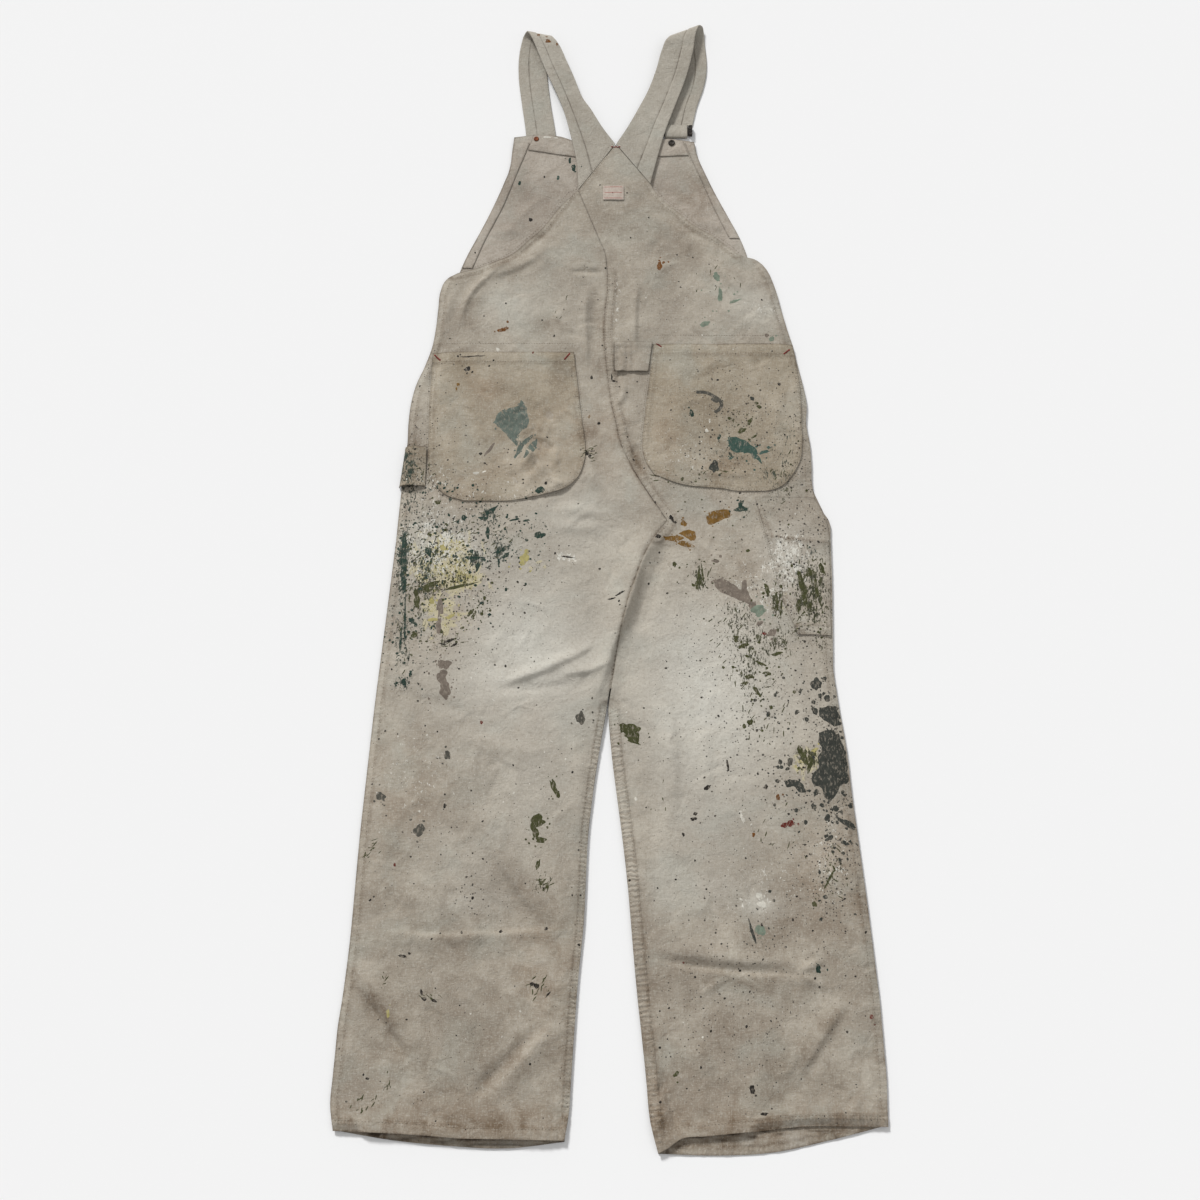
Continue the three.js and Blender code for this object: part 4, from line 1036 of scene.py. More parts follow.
def plain(name, colour, dark, roughness, metallic=0.0):
    """A small part's finish: two tones in fine patches, with a slightly rough face."""
    material, tree, shader = new_material(name, roughness, metallic)
    place = add_node(tree, "TexCoord").outputs["Object"]
    grain = noise(tree, place, 300.0, 4.0, 0.65)
    tree.links.new(blend(tree, spread(tree, grain, 0.38, 0.62), colour, dark), shader.inputs["Base Color"])
    bump = add_node(tree, "Bump", {"Height": grain, "Strength": 0.35, "Distance": 0.0004})
    tree.links.new(bump.outputs[0], shader.inputs["Normal"])
    return material


drill_back = drill("drill_back", ECRU, ECRU_SHADE)
drill_pocket = drill("drill_pocket", rgb(173, 163, 146), rgb(144, 133, 114))
drill_bib = drill("drill_bib", BIB_TINT, rgb(148, 138, 126))
drill_strap = drill("drill_strap", STRAP_TINT, rgb(152, 145, 133))
thread = plain("thread", rgb(134, 122, 104), rgb(86, 74, 60), 0.85)
bar_tack = plain("bar_tack", rgb(142, 52, 44), rgb(110, 38, 34), 0.8)
label_cloth = plain("label_cloth", rgb(184, 172, 160), rgb(168, 154, 142), 0.85)
red_rule = plain("red_rule", rgb(160, 82, 74), rgb(146, 72, 66), 0.8)
black_metal = plain("black_metal", rgb(34, 32, 30), rgb(62, 56, 50), 0.5, 0.7)
rusty_metal = plain("rusty_metal", rgb(134, 70, 28), rgb(84, 40, 20), 0.75, 0.3)

# ---------- the two back panels ----------
LEFT_OUTLINE = node_outline("back_left")
RIGHT_OUTLINE = node_outline("back_right")
back_form = form_of(["back_left", "back_right"], 5.5)


def close_to(outline, reach):
    """A test of whether a point lies within reach of another outline."""
    return lambda x, y: np.hypot(outline[:, 0] - x, outline[:, 1] - y).min() < reach


WAIST, CROTCH, HEM = 340, -232, -690
by_right = close_to(RIGHT_OUTLINE, 3)
CENTRE_SEAM = smooth_line(run_of(LEFT_OUTLINE, lambda x, y: by_right(x, y) and y > CROTCH + 6))
if CENTRE_SEAM[0, 1] > CENTRE_SEAM[-1, 1]:
    CENTRE_SEAM = CENTRE_SEAM[::-1]  # from the crotch up
SEAM_LOW = CENTRE_SEAM[CENTRE_SEAM[:, 1] < -16]  # a plain fold between the seam's end and the crotch
SEAM_HIGH = CENTRE_SEAM[CENTRE_SEAM[:, 1] >= -20]


def upwards(line):
    """The line with its lower end first."""
    return line if line[0, 1] < line[-1, 1] else line[::-1]


def stretch_of(outline, keep):
    """A smooth line along the part of an outline that passes a test, from its lower end."""
    return upwards(smooth_line(run_of(outline, keep)))


LEFT_SIDE = stretch_of(LEFT_OUTLINE, lambda x, y: x < -150 and HEM - 10 < y < WAIST)
RIGHT_SIDE = stretch_of(RIGHT_OUTLINE, lambda x, y: x > 150 and HEM - 10 < y < WAIST + 20)
LEFT_INSEAM = stretch_of(LEFT_OUTLINE, lambda x, y: x > -70 and -706 < y < CROTCH + 4)
RIGHT_INSEAM = stretch_of(RIGHT_OUTLINE, lambda x, y: x < 70 and -706 < y < CROTCH + 4)
LEFT_HEM = smooth_line(run_of(LEFT_OUTLINE, lambda x, y: y < HEM - 4))
RIGHT_HEM = smooth_line(run_of(RIGHT_OUTLINE, lambda x, y: y < HEM + 4))
LEFT_ARMHOLE = smooth_line(run_of(LEFT_OUTLINE, lambda x, y: y > WAIST and x < -38))
RIGHT_ARMHOLE = smooth_line(run_of(RIGHT_OUTLINE, lambda x, y: y > WAIST + 24 and x > 55))
YOKE_LEFT = smooth_line(run_of(RIGHT_OUTLINE, lambda x, y: y > 464 and x < 12))
HEMS = [LEFT_HEM, RIGHT_HEM]
SIDES = [LEFT_SIDE, RIGHT_SIDE, LEFT_INSEAM, RIGHT_INSEAM]
# Seams and hems of both panels: line, width, how high the band and its puckers rise, their pitch, seed.
BACK_SEAMS = [
    (RIGHT_INSEAM, 12, 0.8, 0.5, 6, 21),
    (LEFT_INSEAM, 8, 0.7, 0.4, 6, 23),
    (LEFT_SIDE, 9, 0.5, 0.2, 8, 25),
    (RIGHT_SIDE, 9, 0.5, 0.2, 8, 27),
    (LEFT_HEM, HEM_HEIGHT, 0.8, 0.36, 9, 31),
    (RIGHT_HEM, HEM_HEIGHT, 0.8, 0.36, 9, 32),
    (LEFT_ARMHOLE, 7, 0.5, 0.2, 8, 35),
    (RIGHT_ARMHOLE, 7, 0.5, 0.2, 8, 36),
]
STRAYS = stray_creases(11, 420, (-290, -690), (290, 440), 0.6, 60)


def seam_band(x, y, line, width, rise, pucker, pitch, seed):
    """A felled seam along a line: a raised band, two sunk rows of stitches, and puckers across it."""
    away, along, _ = near_line(x, y, line, width + 6)
    band = 1 - ramp(away, width - 0.8, width + 0.8)
    wave = np.sin(2 * math.pi * along / pitch + 2.5 * ripples(along, away * 0.2, 14, seed))
    uneven = 0.55 + 0.45 * ripples(along, away * 0.1, 40, seed + 1)
    stitched = np.exp(-((away - width + 2.2) / 0.9) ** 2) + np.exp(-((away - 2.0) / 0.9) ** 2)
    reach = 1 - ramp(away, width - 1, width + 5)
    return rise * band + pucker * wave * uneven * reach - 0.4 * stitched


def back_top(x, y):
    """The upper side of the back cloth."""
    z = back_form(x, y)
    z += crease_heights(x, y, CREASES) + crease_heights(x, y, STRAYS)
    z += 0.8 * ripples(x, y, 46, 3) + 0.42 * ripples(x + 0.5 * y, y - 0.5 * x, 19, 4)
    z += 0.22 * ripples(x, y, 8, 5)
    for line in SIDES:
        away = near_line(x, y, line, 24)[0]
        z += (SIDE_TOP - z) * np.exp(-(away / 6.0) ** 2) * (away < 24)
    for seam in BACK_SEAMS:
        z += seam_band(x, y, *seam)
    return np.maximum(z, LOWEST_BACK)


def left_top(x, y):
    """The left panel dips under the right one along the centre seam."""
    away = near_line(x, y, CENTRE_SEAM, 8)[0]
    return back_top(x, y) - 0.55 * (1 - ramp(away, 0.5, 3.5))


def right_top(x, y):
    """The right panel is folded under along the centre seam, and lies on the left one."""
    z = back_top(x, y) + seam_band(x, y, SEAM_HIGH, FELL, 1.0, 0.25, 7.5, 41)
    z += 0.9 * (1 - ramp(near_line(x, y, SEAM_LOW, 16)[0], 3, 15))
    z += seam_band(x, y, YOKE_LEFT, 4, 0.3, 0.0, 9, 43)
    return z


def seam_marks(seams):
    """What seams do to the cloth beside them: grime and painted shade, painted shadow lines, and puckers
    with how far along they are.

    A seam is its line, the width of its band, how dark its painted shadow lines are, and how puckered it
    is.
    """
    def marks(x, y):
        dirt_and_shade, edge, puckered, along = (np.zeros(len(x)) for _ in range(4))
        nearest = np.full(len(x), 1e9)
        for line, width, dark, gathered in seams:
            away, run, _ = near_line(x, y, line, width + 10)
            # Painted shade beside the seam and its band's edge, and painted shadow lines along both.
            dirt_and_shade += 0.4 * np.exp(-(away / 1.6) ** 2) + 0.4 * np.exp(-((away - width) / 2.4) ** 2)
            lines = np.maximum(np.exp(-(away / 0.8) ** 2), 0.75 * np.exp(-((away - width) / 0.8) ** 2))
            edge = np.maximum(edge, dark * lines * (away < width + 10))
            nearer = away < np.minimum(nearest, width + 10)
            nearest[nearer], along[nearer] = away[nearer], run[nearer] * MM
            uneven = 0.6 + 0.4 * ripples(run, away * 0.1, 30, 45)
            puckered[nearer] = (gathered * uneven * (1 - ramp(away, width - 1, width + 2)))[nearer]
        return {"dirt_and_shade": np.clip(dirt_and_shade, 0, 0.8), "edge": edge, "puckered": puckered, "along": along}
    return marks


def band_rows(line, offsets, side):
    """Rows of points beside a line, where the cloth steps or is stitched."""
    return [offset_line(smooth_line(line, 1.6), side * by) for by in offsets]


TUCK = 3.0  # the left panel reaches this far under the right one
HEM_ROWS = (5, 9, 11.6, 13, 14.4)
SIDE_ROWS = (7.6, 9, 10.4)
left_rim = rounded(LEFT_OUTLINE, FINE)
right_rim = rounded(RIGHT_OUTLINE, FINE)
tucked = near_line(left_rim[:, 0], left_rim[:, 1], CENTRE_SEAM, 3)[0] < 1.5
left_rim[tucked, 0] += TUCK
left_rows = band_rows(LEFT_INSEAM, (1.6, 4.4, 6.4, 8, 9.4), 1)
left_rows += band_rows(LEFT_HEM, HEM_ROWS, 1)
left_rows += band_rows(LEFT_SIDE, SIDE_ROWS, -1)
right_rows = band_rows(CENTRE_SEAM, (1.2, 2.2, 3.2, 7.6, 8.8, 10.4), -1)
right_rows += band_rows(RIGHT_INSEAM, (1.6, 4.2, 7, 9.6, 10.8, 12, 13.4), -1)
right_rows += band_rows(RIGHT_HEM, HEM_ROWS, 1)
right_rows += band_rows(RIGHT_SIDE, SIDE_ROWS, 1)
# Each seam adds painted shade and painted shadow lines; those of width 0 are only painted shadow lines,
# where the right panel lies on the left and along the fold below the centre seam.
left_marks = seam_marks([
    (LEFT_SIDE, 9, 0.35, 0.2), (LEFT_INSEAM, 8, 0.75, 0.6), (LEFT_HEM, HEM_HEIGHT, 0.6, 0.25),
    (LEFT_ARMHOLE, 7, 0.35, 0.2), (CENTRE_SEAM, 0, 0.9, 0),
])
right_marks = seam_marks([
    (RIGHT_SIDE, 9, 0.35, 0.2), (RIGHT_INSEAM, 12, 0.75, 0.7), (RIGHT_HEM, HEM_HEIGHT, 0.6, 0.25),
    (RIGHT_ARMHOLE, 7, 0.35, 0.2), (SEAM_HIGH, FELL, 0.6, 0.3), (SEAM_LOW, 0, 0.4, 0),
    (YOKE_LEFT, 4, 0.4, 0.1),
])
back_left = cloth_shell("left_back_cloth", "back_left", left_rim, left_top, drill_back,
                        rows=left_rows, seams=left_marks)
back_right = cloth_shell("right_back_cloth", "back_right", right_rim, right_top, drill_back,
                         rows=right_rows, seams=right_marks, rim_shade=0.55)

# ---------- front legs and bib ----------


def front_top(x, y):
    """The front lies flat on the surface, and is thicker and creased at its hem."""
    z = 1.2 + 0.12 * ripples(x, y, 40, 51)
    for line in HEMS:
        z += 0.5 * (1 - ramp(near_line(x, y, line, 30)[0], 12, 14))
    creased = 0.4 * ripples(x, y, 9, 55) + 0.25 * ripples(x, y, 4, 56)
    return np.minimum(z, 1.7) + creased * (1 - ramp(y, -704, -698))


shadow_under_back_hems = [(line, 5, 1.3, 0) for line in HEMS]  # a painted shadow line where the back hem lies on the front
for side in ("left", "right"):
    outline = node_outline(f"front_{side}")
    hem = smooth_line(run_of(outline, lambda x, y: y < HEM - 8))
    cloth_shell(
        f"{side}_front_cloth", f"front_{side}", rounded(outline, 4), front_top, drill_back,
        spacing=3.6, seams=seam_marks([(hem, 8, 0.6, 0.6)] + shadow_under_back_hems))

bib_form = form_of(["bib"], 5.0)
BIB_OUTLINE = rounded(node_outline("bib"), 2.5)
FACING_LEFT = node_outline("bib_side_facing_left")
FACING_RIGHT = node_outline("bib_side_facing_right")
FACING_TOP = node_outline("bib_top_facing")


def bib_top(x, y):
    """The inside of the bib's cloth."""
    z = bib_form(x, y) + crease_heights(x, y, BIB_CREASES)
    return z + 0.3 * ripples(x, y, 38, 52) + 0.1 * ripples(x, y, 9, 53)


def facing_top(lift):
    """The upper side of a facing, which follows the bib under it."""
    return lambda x, y: bib_top(x, y) + lift + 0.12 * ripples(x, y, 7, 54)


def facing(name, node, outline, lift):
    """A facing sewn on the inside of the bib."""
    return cloth_shell(name, node, rounded(outline, 2.5), facing_top(lift), drill_bib,
                       spacing=2.4, thickness=TRIM)


bib_cloth = cloth_shell("bib_cloth", "bib", BIB_OUTLINE, bib_top, drill_bib, spacing=3.0,
                        thickness=1.2)
side_facing_left = facing("side_facing_left", "bib_side_facing_left", FACING_LEFT, 1.3)
side_facing_right = facing("side_facing_right", "bib_side_facing_right", FACING_RIGHT, 1.3)
top_facing = facing("top_facing", "bib_top_facing", FACING_TOP, 1.45)

# ---------- what is sewn on the back ----------


def plain_edge(outline, keep):
    """A smooth line along the part of an outline that passes a test."""
    return smooth_line(run_of(outline, keep), 3)


def pocket(name, node, mouth_y, seed, lifts):
    """A patch pocket with a hemmed mouth and a stitched edge, and its edge and mouth as lines.

    A lift is a place where it stands off the cloth: centre x and y, reach and height.
    """
    outline = node_outline(node)
    edge = plain_edge(outline, lambda x, y: y < mouth_y)
    mouth = plain_edge(outline, lambda x, y: y > mouth_y - 2)

    def top(x, y):
        z = back_top(x, y) + POCKET_LIFT + crease_heights(x, y, POCKET_CREASES + POCKET_STRAYS)
        z += 0.25 * ripples(x, y, 24, seed)
        z += seam_band(x, y, edge, 6, 0.35, 0.16, 8, seed + 1)
        z += seam_band(x, y, mouth, 15, 0.55, 0.22, 10, seed + 2)
        for cx, cy, reach, height in lifts:
            z += height * np.exp(-((x - cx) ** 2 + (y - cy) ** 2) / reach**2)
        away = near_line(x, y, mouth, 60)[0]
        return z + 0.8 * np.exp(-((away - 6) / 16) ** 2) * ramp(near_line(x, y, edge, 40)[0], 4, 34)
    rows = [offset_line(edge, by) for by in (-5.4, 5.4, -7, 7)]
    # The pocket's rim and seams get painted shadow lines and painted shade.
    marks = seam_marks([(edge, 6, 0.4, 0.35), (mouth, 15, 0.35, 0.15)])
    piece = cloth_shell(name, node, rounded(outline, 2.4), top, drill_pocket, spacing=2.4,
                        thickness=TRIM, rows=rows, rim_shade=0.85, seams=marks)
    return piece, edge, mouth


POCKET_STRAYS = stray_creases(17, 46, (-112, 34), (-52, 150), 1.1, 38)
pocket_left, POCKET_LEFT_EDGE, POCKET_LEFT_MOUTH = pocket(
    "left_pocket", "pocket_left", 226, 61, [(-60, 40, 17, 2.4), (-110, 14, 14, 0.8)])
pocket_right, POCKET_RIGHT_EDGE, POCKET_RIGHT_MOUTH = pocket(
    "right_pocket", "pocket_right", 238, 71, [(84, 24, 14, 0.9), (228, 30, 14, 1.0)])

RULE_OUTLINE = node_outline("rule_pocket")
RULE_INNER = plain_edge(RULE_OUTLINE, lambda x, y: x < 226 and y < 32)
RULE_BOTTOM = plain_edge(RULE_OUTLINE, lambda x, y: y < -142)
RULE_MOUTH = smooth_line([(190, -18), (224, -22), (266, -26)], 3)


def rule_top(x, y):
    """The rule pocket: its lower layer has a mouth that stands a little open under a fold."""
    z = back_top(x, y) + POCKET_LIFT + 0.25 * ripples(x, y, 20, 81)
    away, along, side = near_line(x, y, RULE_MOUTH, 40)
    z += 0.9 * np.exp(-(away / 4) ** 2) * (away < 40) + 0.5 * (side > 0) * (1 - ramp(away, 0, 30))
    inner = seam_band(x, y, RULE_INNER, 5, 0.3, 0.12, 8, 83)
    bottom = seam_band(x, y, RULE_BOTTOM, 13, 0.5, 0.2, 9, 85)
    return z + (inner + bottom)


# The mouth gets a painted shadow line where it stands open.
rule_marks = seam_marks([(RULE_INNER, 5, 0.75, 0.3), (RULE_BOTTOM, 13, 0.45, 0.3), (RULE_MOUTH, 1, 0.6, 0)])
rule_pocket = cloth_shell("rule_pocket_cloth", "rule_pocket", rounded(RULE_OUTLINE, 2.4), rule_top,
                          drill_back, spacing=2.4, thickness=TRIM, seams=rule_marks)

TAB_OUTLINE = node_outline("centre_tab")
TAB_LEFT, TAB_BOTTOM = TAB_OUTLINE.min(0)
TAB_TOP = TAB_OUTLINE[:, 1].max()


def tab_top(x, y):
    """The tool tab: sewn at its top and sides, its lower edge waved and open at the left."""
    z = back_top(x, y) + TAB_LIFT
    low = 1 - ramp(y, TAB_BOTTOM, TAB_TOP - 6)
    z += low * (1.5 + 2.0 * np.exp(-((x - TAB_LEFT - 7) / 6) ** 2) + 0.6 * np.cos((x - TAB_LEFT) / 5))
    for fold in (TAB_LEFT + 16, TAB_LEFT + 23):
        z -= 0.8 * np.exp(-((x - fold) / 1.6) ** 2)
    return z + 0.5 * (1 - ramp(TAB_TOP - y, 6, 8))


# The tab's rim is painted fully dark as the shadow under its open edge.
tool_tab = cloth_shell("tool_tab", "centre_tab", rounded(TAB_OUTLINE, 1.6), tab_top, drill_back,
                       spacing=1.7, thickness=TRIM, rim_shade=1.0)

LABEL_OUTLINE = node_outline("label")
label_piece = cloth_shell("label_tape", "label", rounded(LABEL_OUTLINE, 1.5),
                          lambda x, y: back_top(x, y) + LABEL_LIFT, label_cloth,
                          spacing=1.6, thickness=0.6)

# ---------- straps and the hammer loop ----------
FLAT = 0.85  # middle of the strap's cloth where it lies on the surface
BASE = 6.0  # and where it leaves the yoke
# A strap's stations, from the yoke over the top and down to the bib: the two edges of the cloth.
STRAP_LEFT = [
    ((-37.4, 466.6, BASE), (10.4, 535.6, BASE)), ((-40, 508, 6.6), (-7, 562, 6.6)),
    ((-48, 548, 7.2), (-21, 588, 7)), ((-58, 588, 8), (-34, 610, 7)), ((-71, 622, 9.5), (-43, 636, 7.5)),
    ((-85, 656, 11.5), (-54, 664, 9)), ((-96, 686, 13.5), (-64, 688, 11)),
    ((-103, 703, 13.5), (-71, 699, 11)), ((-108, 711, 9.5), (-76, 705, 8)),
    ((-112, 708, 4), (-80, 702, 3.5)), ((-115, 697, 1.6), (-82, 692, 1.6)),
    ((-118, 674, FLAT), (-82, 670, FLAT)), ((-118, 647, FLAT), (-80, 645, FLAT)),
    ((-113, 602, FLAT), (-75, 602, FLAT)), ((-107, 556, FLAT), (-68, 554, FLAT)),
    ((-105, 522, FLAT), (-66, 522, FLAT)),
]
STRAP_RIGHT = [
    ((11.6, 535.6, BASE), (55.6, 474.8, BASE)), ((27, 562, 6.6), (64, 510, 6.6)),
    ((41, 590, 7), (76, 555, 7)), ((54, 618, 7.4), (90, 596, 7.4)), ((65, 650, 9), (105, 640, 8.5)),
    ((73, 680, 11.5), (115, 682, 11)), ((80, 697, 13), (120, 711, 12.5)),
    ((85, 703, 11), (124, 720, 10.5)), ((88, 705, 6.5), (128, 722, 6.5)),
    ((91, 700, 2.6), (130, 715, 2.8)), ((93, 684, FLAT), (131, 698, FLAT)),
    ((94, 664, FLAT), (133, 668, FLAT)), ((93, 645, FLAT), (132, 648, FLAT)),
    ((88, 622, FLAT), (127, 624, FLAT)), ((80, 598, FLAT), (119, 599, FLAT)),
    ((74, 567.5, FLAT), (112, 567.5, FLAT)),
]


def strap_face(facing_from, facing_to, seam_at, seed):
    """A strap's relief: a stitched facing band along one edge, a seam groove and slight waves."""
    def profile(t, along):
        band = ramp(t, facing_from - 0.02, facing_from + 0.02)
        band *= 1 - ramp(t, facing_to - 0.02, facing_to + 0.02)
        groove = np.exp(-((t - seam_at) / 0.03) ** 2)
        waves = 0.25 * ripples(along, t * 40, 16, seed) + 0.14 * np.sin(along / 1.6 + 3 * t) * groove
        return 0.55 * band - 0.35 * groove + waves * np.sin(math.pi * t)
    return profile


def strap(name, node, stations, facing_from, facing_to, seam_at, seed):
    """A shoulder strap: two layers of cloth with a stitched facing along one edge."""
    face = strap_face(facing_from, facing_to, seam_at, seed)
    return swept_band(name, node, stations, face, 1.5, drill_strap, across=40, step=3.0,
                      seam_at=seam_at)


strap_left = strap("left_strap_cloth", "strap_left", STRAP_LEFT, -0.1, 0.36, 0.37, 91)
strap_right = strap("right_strap_cloth", "strap_right", STRAP_RIGHT, 0.62, 1.1, 0.61, 93)

END_LOW, END_HIGH = (np.array(corner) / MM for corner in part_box("strap_end_right"))


END_THICK = 1.1


def turned_end():
    """Stations of the strap's end, turned back round the slider's bar."""
    radius = (END_HIGH[2] - END_LOW[2] - END_THICK) / 2
    middle = (END_HIGH[2] + END_LOW[2]) / 2
    route = [(END_HIGH[1], middle + radius)]
    for degrees in range(90, -91, -30):
        a = math.radians(degrees)
        route.append((END_LOW[1] + 0.6 + radius * (1 - math.cos(a)), middle + radius * math.sin(a)))
    route.append((END_HIGH[1], middle - radius))
    return [((END_HIGH[0], y, z), (END_LOW[0], y, z)) for y, z in reversed(route)]


strap_end = swept_band("right_strap_end", "strap_end_right", turned_end(),
                       lambda t, along: 0.1 * np.sin(9 * t), END_THICK, drill_strap,
                       across=12, step=1.2)

LOOP_LOW, LOOP_HIGH = (np.array(corner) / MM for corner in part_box("hammer_loop"))
# How high the loop stands, by the share of its width from the outer edge.
LOOP_PROFILE = [(0, 0.9), (0.02, 4.5), (0.1, 8.2), (0.25, 10.2), (0.72, 10.2), (0.88, 9.2), (1, 8.1)]
LOOP_LEAN = 7.8  # its outer edge follows the side seam


def loop_stations():
    """The loop's upper and lower edges, from its outer edge inwards."""
    stations = []
    outer = LOOP_LOW[0] + 0.5
    for t, z in LOOP_PROFILE:
        top = (outer + (LOOP_HIGH[0] - outer) * t + LOOP_LEAN * (1 - t) * 0.7, LOOP_HIGH[1], z)
        bottom = (outer + (LOOP_HIGH[0] - outer) * t, LOOP_LOW[1], z)
        stations.append((top, bottom))
    return stations


def loop_face(t, along):
    """The loop's relief: two turned and stitched edges, and a crease from one to the other."""
    edge = np.minimum(t, 1 - t)
    stitched = np.exp(-((edge - 0.07) / 0.02) ** 2)
    return 0.3 * (edge < 0.09) - 0.3 * stitched - 0.5 * np.exp(-((along - 26) / 1.5) ** 2)


# The loop's edges are painted fully dark as the shadow in and under it.
hammer_loop = swept_band("hammer_loop_cloth", "hammer_loop", loop_stations(), loop_face, TRIM, drill_pocket,
                         across=30, step=2.0, rim_shade=1.0)

# ---------- metal ----------


def bevelled_box(low, high, bevel):
    """A box whose edges along Y are bevelled, as points and faces."""
    (x0, y0, z0), (x1, y1, z1) = low, high
    ring = [(x0 + bevel, z0), (x1 - bevel, z0), (x1, z0 + bevel), (x1, z1 - bevel), (x1 - bevel, z1),
            (x0 + bevel, z1), (x0, z1 - bevel), (x0, z0 + bevel)]
    points = [(x, y, z) for y in (y0, y1) for x, z in ring]
    faces = [(k, (k + 1) % 8, (k + 1) % 8 + 8, k + 8) for k in range(8)]
    return points, faces + [tuple(range(7, -1, -1)), tuple(range(8, 16))]


def joined(parts):
    """Several (points, faces) as one."""
    points, faces = [], []
    for some_points, some_faces in parts:
        start = len(points)
        points += [tuple(p) for p in some_points]
        faces += [tuple(int(i) + start for i in face) for face in some_faces]
    return points, faces


def slider(name, node):
    """A strap slider: a flat bar between two ridged cheeks."""
    low, high = (np.array(corner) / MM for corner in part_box(node))
    cheek, ridges, ridge_width = 4.0, 4, 2.2
    parts = [bevelled_box((low[0] + 1, low[1] + 1, low[2]), (high[0] - 1, high[1] - 1, low[2] + 1.0), 0.25)]
    for x in (low[0], high[0] - cheek):
        parts.append(bevelled_box((x, low[1], low[2]), (x + cheek, high[1], high[2] - 0.4), 0.5))
        for k in range(ridges):
            y = low[1] + (k + 0.5) * (high[1] - low[1]) / ridges
            ridge_low = (x - 0.25, y - ridge_width / 2, high[2] - 1.2)
            ridge_high = (x + cheek + 0.25, y + ridge_width / 2, high[2])
            parts.append(bevelled_box(ridge_low, ridge_high, 0.4))
    points, faces = joined(parts)
    piece = add_mesh(name, points, faces, black_metal, 30)
    return sew_in(piece, [node])


def button(name, node, material, hollow):
    """The riveted back of a bib button: a rolled rim round a sunk middle."""
    low, high = (np.array(corner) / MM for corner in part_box(node))
    cx, cy = (low[:2] + high[:2]) / 2
    radius, height = (high[0] - low[0]) / 2, high[2] - low[2]
    sunk, dome = 1 - hollow, 1.02 - 0.6 * hollow
    profile = [(0.98, 0.0), (1.0, 0.3), (0.97, 0.62), (0.86, 0.88), (0.7, 1.0), (0.55, 0.9), (0.42, sunk),
               (0.22, sunk), (0.12, dome), (0.04, dome + 0.02)]
    count = 36
    points = [(cx + radius * r * math.cos(a), cy + radius * r * math.sin(a), low[2] + height * h)
              for r, h in profile for a in np.arange(count) * 2 * math.pi / count]
    faces = []
    for start in range(0, (len(profile) - 1) * count, count):
        for k in range(count):
            after = (k + 1) % count
            faces.append((start + k, start + after, start + count + after, start + count + k))
    faces += [tuple(range(count - 1, -1, -1)), tuple((len(profile) - 1) * count + k for k in range(count))]
    return sew_in(add_mesh(name, points, faces, material, 60), [node])


slider("right_slider", "slider_right")
slider("left_slider", "slider_left")
button("left_button_back", "bib_button_left", rusty_metal, 0.2)
button("right_button_back", "bib_button_right", black_metal, 0.55)

# ---------- stitches, tacks and paint, laid on the cloth ----------
tree_points, tree_faces = joined(surfaces)
cloth_tree = BVHTree.FromPolygons(tree_points, tree_faces)


def on_cloth(x, y):
    """The height of the topmost cloth at a point, or None beside the cloth."""
    for shift in (0, 0.07, -0.11):  # a ray along an edge between two faces can miss both
        hit = cloth_tree.ray_cast(Vector((x + shift, y + 0.6 * shift, 60)), Vector((0, 0, -1)))[0]
        if hit is not None:
            return hit.z
    return None


# A stitch: its two ends, its two sides, its top and its underside.
STITCH_FACES = [(0, 4, 2), (2, 4, 1), (1, 4, 3), (3, 4, 0), (0, 2, 5), (2, 1, 5), (1, 3, 5), (3, 0, 5)]


def stitch_row(line, by, pitch, length=2.5, width=0.55, height=0.35):
    """A row of stitches beside a line, each a small spindle lying on the cloth."""
    row = smooth_line(offset_line(line, by), pitch)
    parts = []
    for a, b in zip(row, row[1:]):
        along = (b - a) / max(1e-6, np.linalg.norm(b - a))
        middle, half = (a + b) / 2, along * length / 2
        across = np.array([-along[1], along[0]]) * width / 2
        z0, z1 = on_cloth(*(middle - half)), on_cloth(*(middle + half))
        if z0 is None or z1 is None or abs(z0 - z1) > 1.2:
            continue
        high = (z0 + z1) / 2 + height
        points = [(*(middle - half), z0 - 0.05), (*(middle + half), z1 - 0.05),
                  (*(middle + across), high - 0.25), (*(middle - across), high - 0.25),
                  (*middle, high), (*middle, high - 0.6)]
        parts.append((points, STITCH_FACES))
    return parts


def lay(name, parts, material):
    """Many small parts laid on the cloth, as one mesh."""
    points, faces = joined(parts)
    piece = add_mesh(name, points, faces, material, 60)
    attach(piece, "root")


def lay_stitches(name, rows, pitch):
    """Rows of stitches beside lines, as one mesh. A distance below 0 lies on the other side."""
    parts = []
    for line, offsets in rows:
        for by in offsets:
            parts += stitch_row(line, by, pitch)
    lay(name, parts, thread)


lay_stitches("seam_stitches", [
    (SEAM_HIGH, (-1.8, -8.2)), (RIGHT_INSEAM, (-2, -10.4)), (LEFT_INSEAM, (2, 7)), (LEFT_SIDE, (-7.5,)),
    (RIGHT_SIDE, (7.5,)), (LEFT_HEM, (10.8,)), (RIGHT_HEM, (10.8,)), (LEFT_ARMHOLE, (5, -5)),
    (RIGHT_ARMHOLE, (5, -5)), (YOKE_LEFT, (2, -2)),
], 3.6)
lay_stitches("pocket_stitches", [
    (POCKET_LEFT_EDGE, (-2.2, 2.2)), (POCKET_LEFT_MOUTH, (-13, 13)), (POCKET_RIGHT_EDGE, (-2.2, 2.2)),
    (POCKET_RIGHT_MOUTH, (-13, 13)), (RULE_INNER, (2, -2)), (RULE_BOTTOM, (2, 11, -2, -11)),
], 3.2)


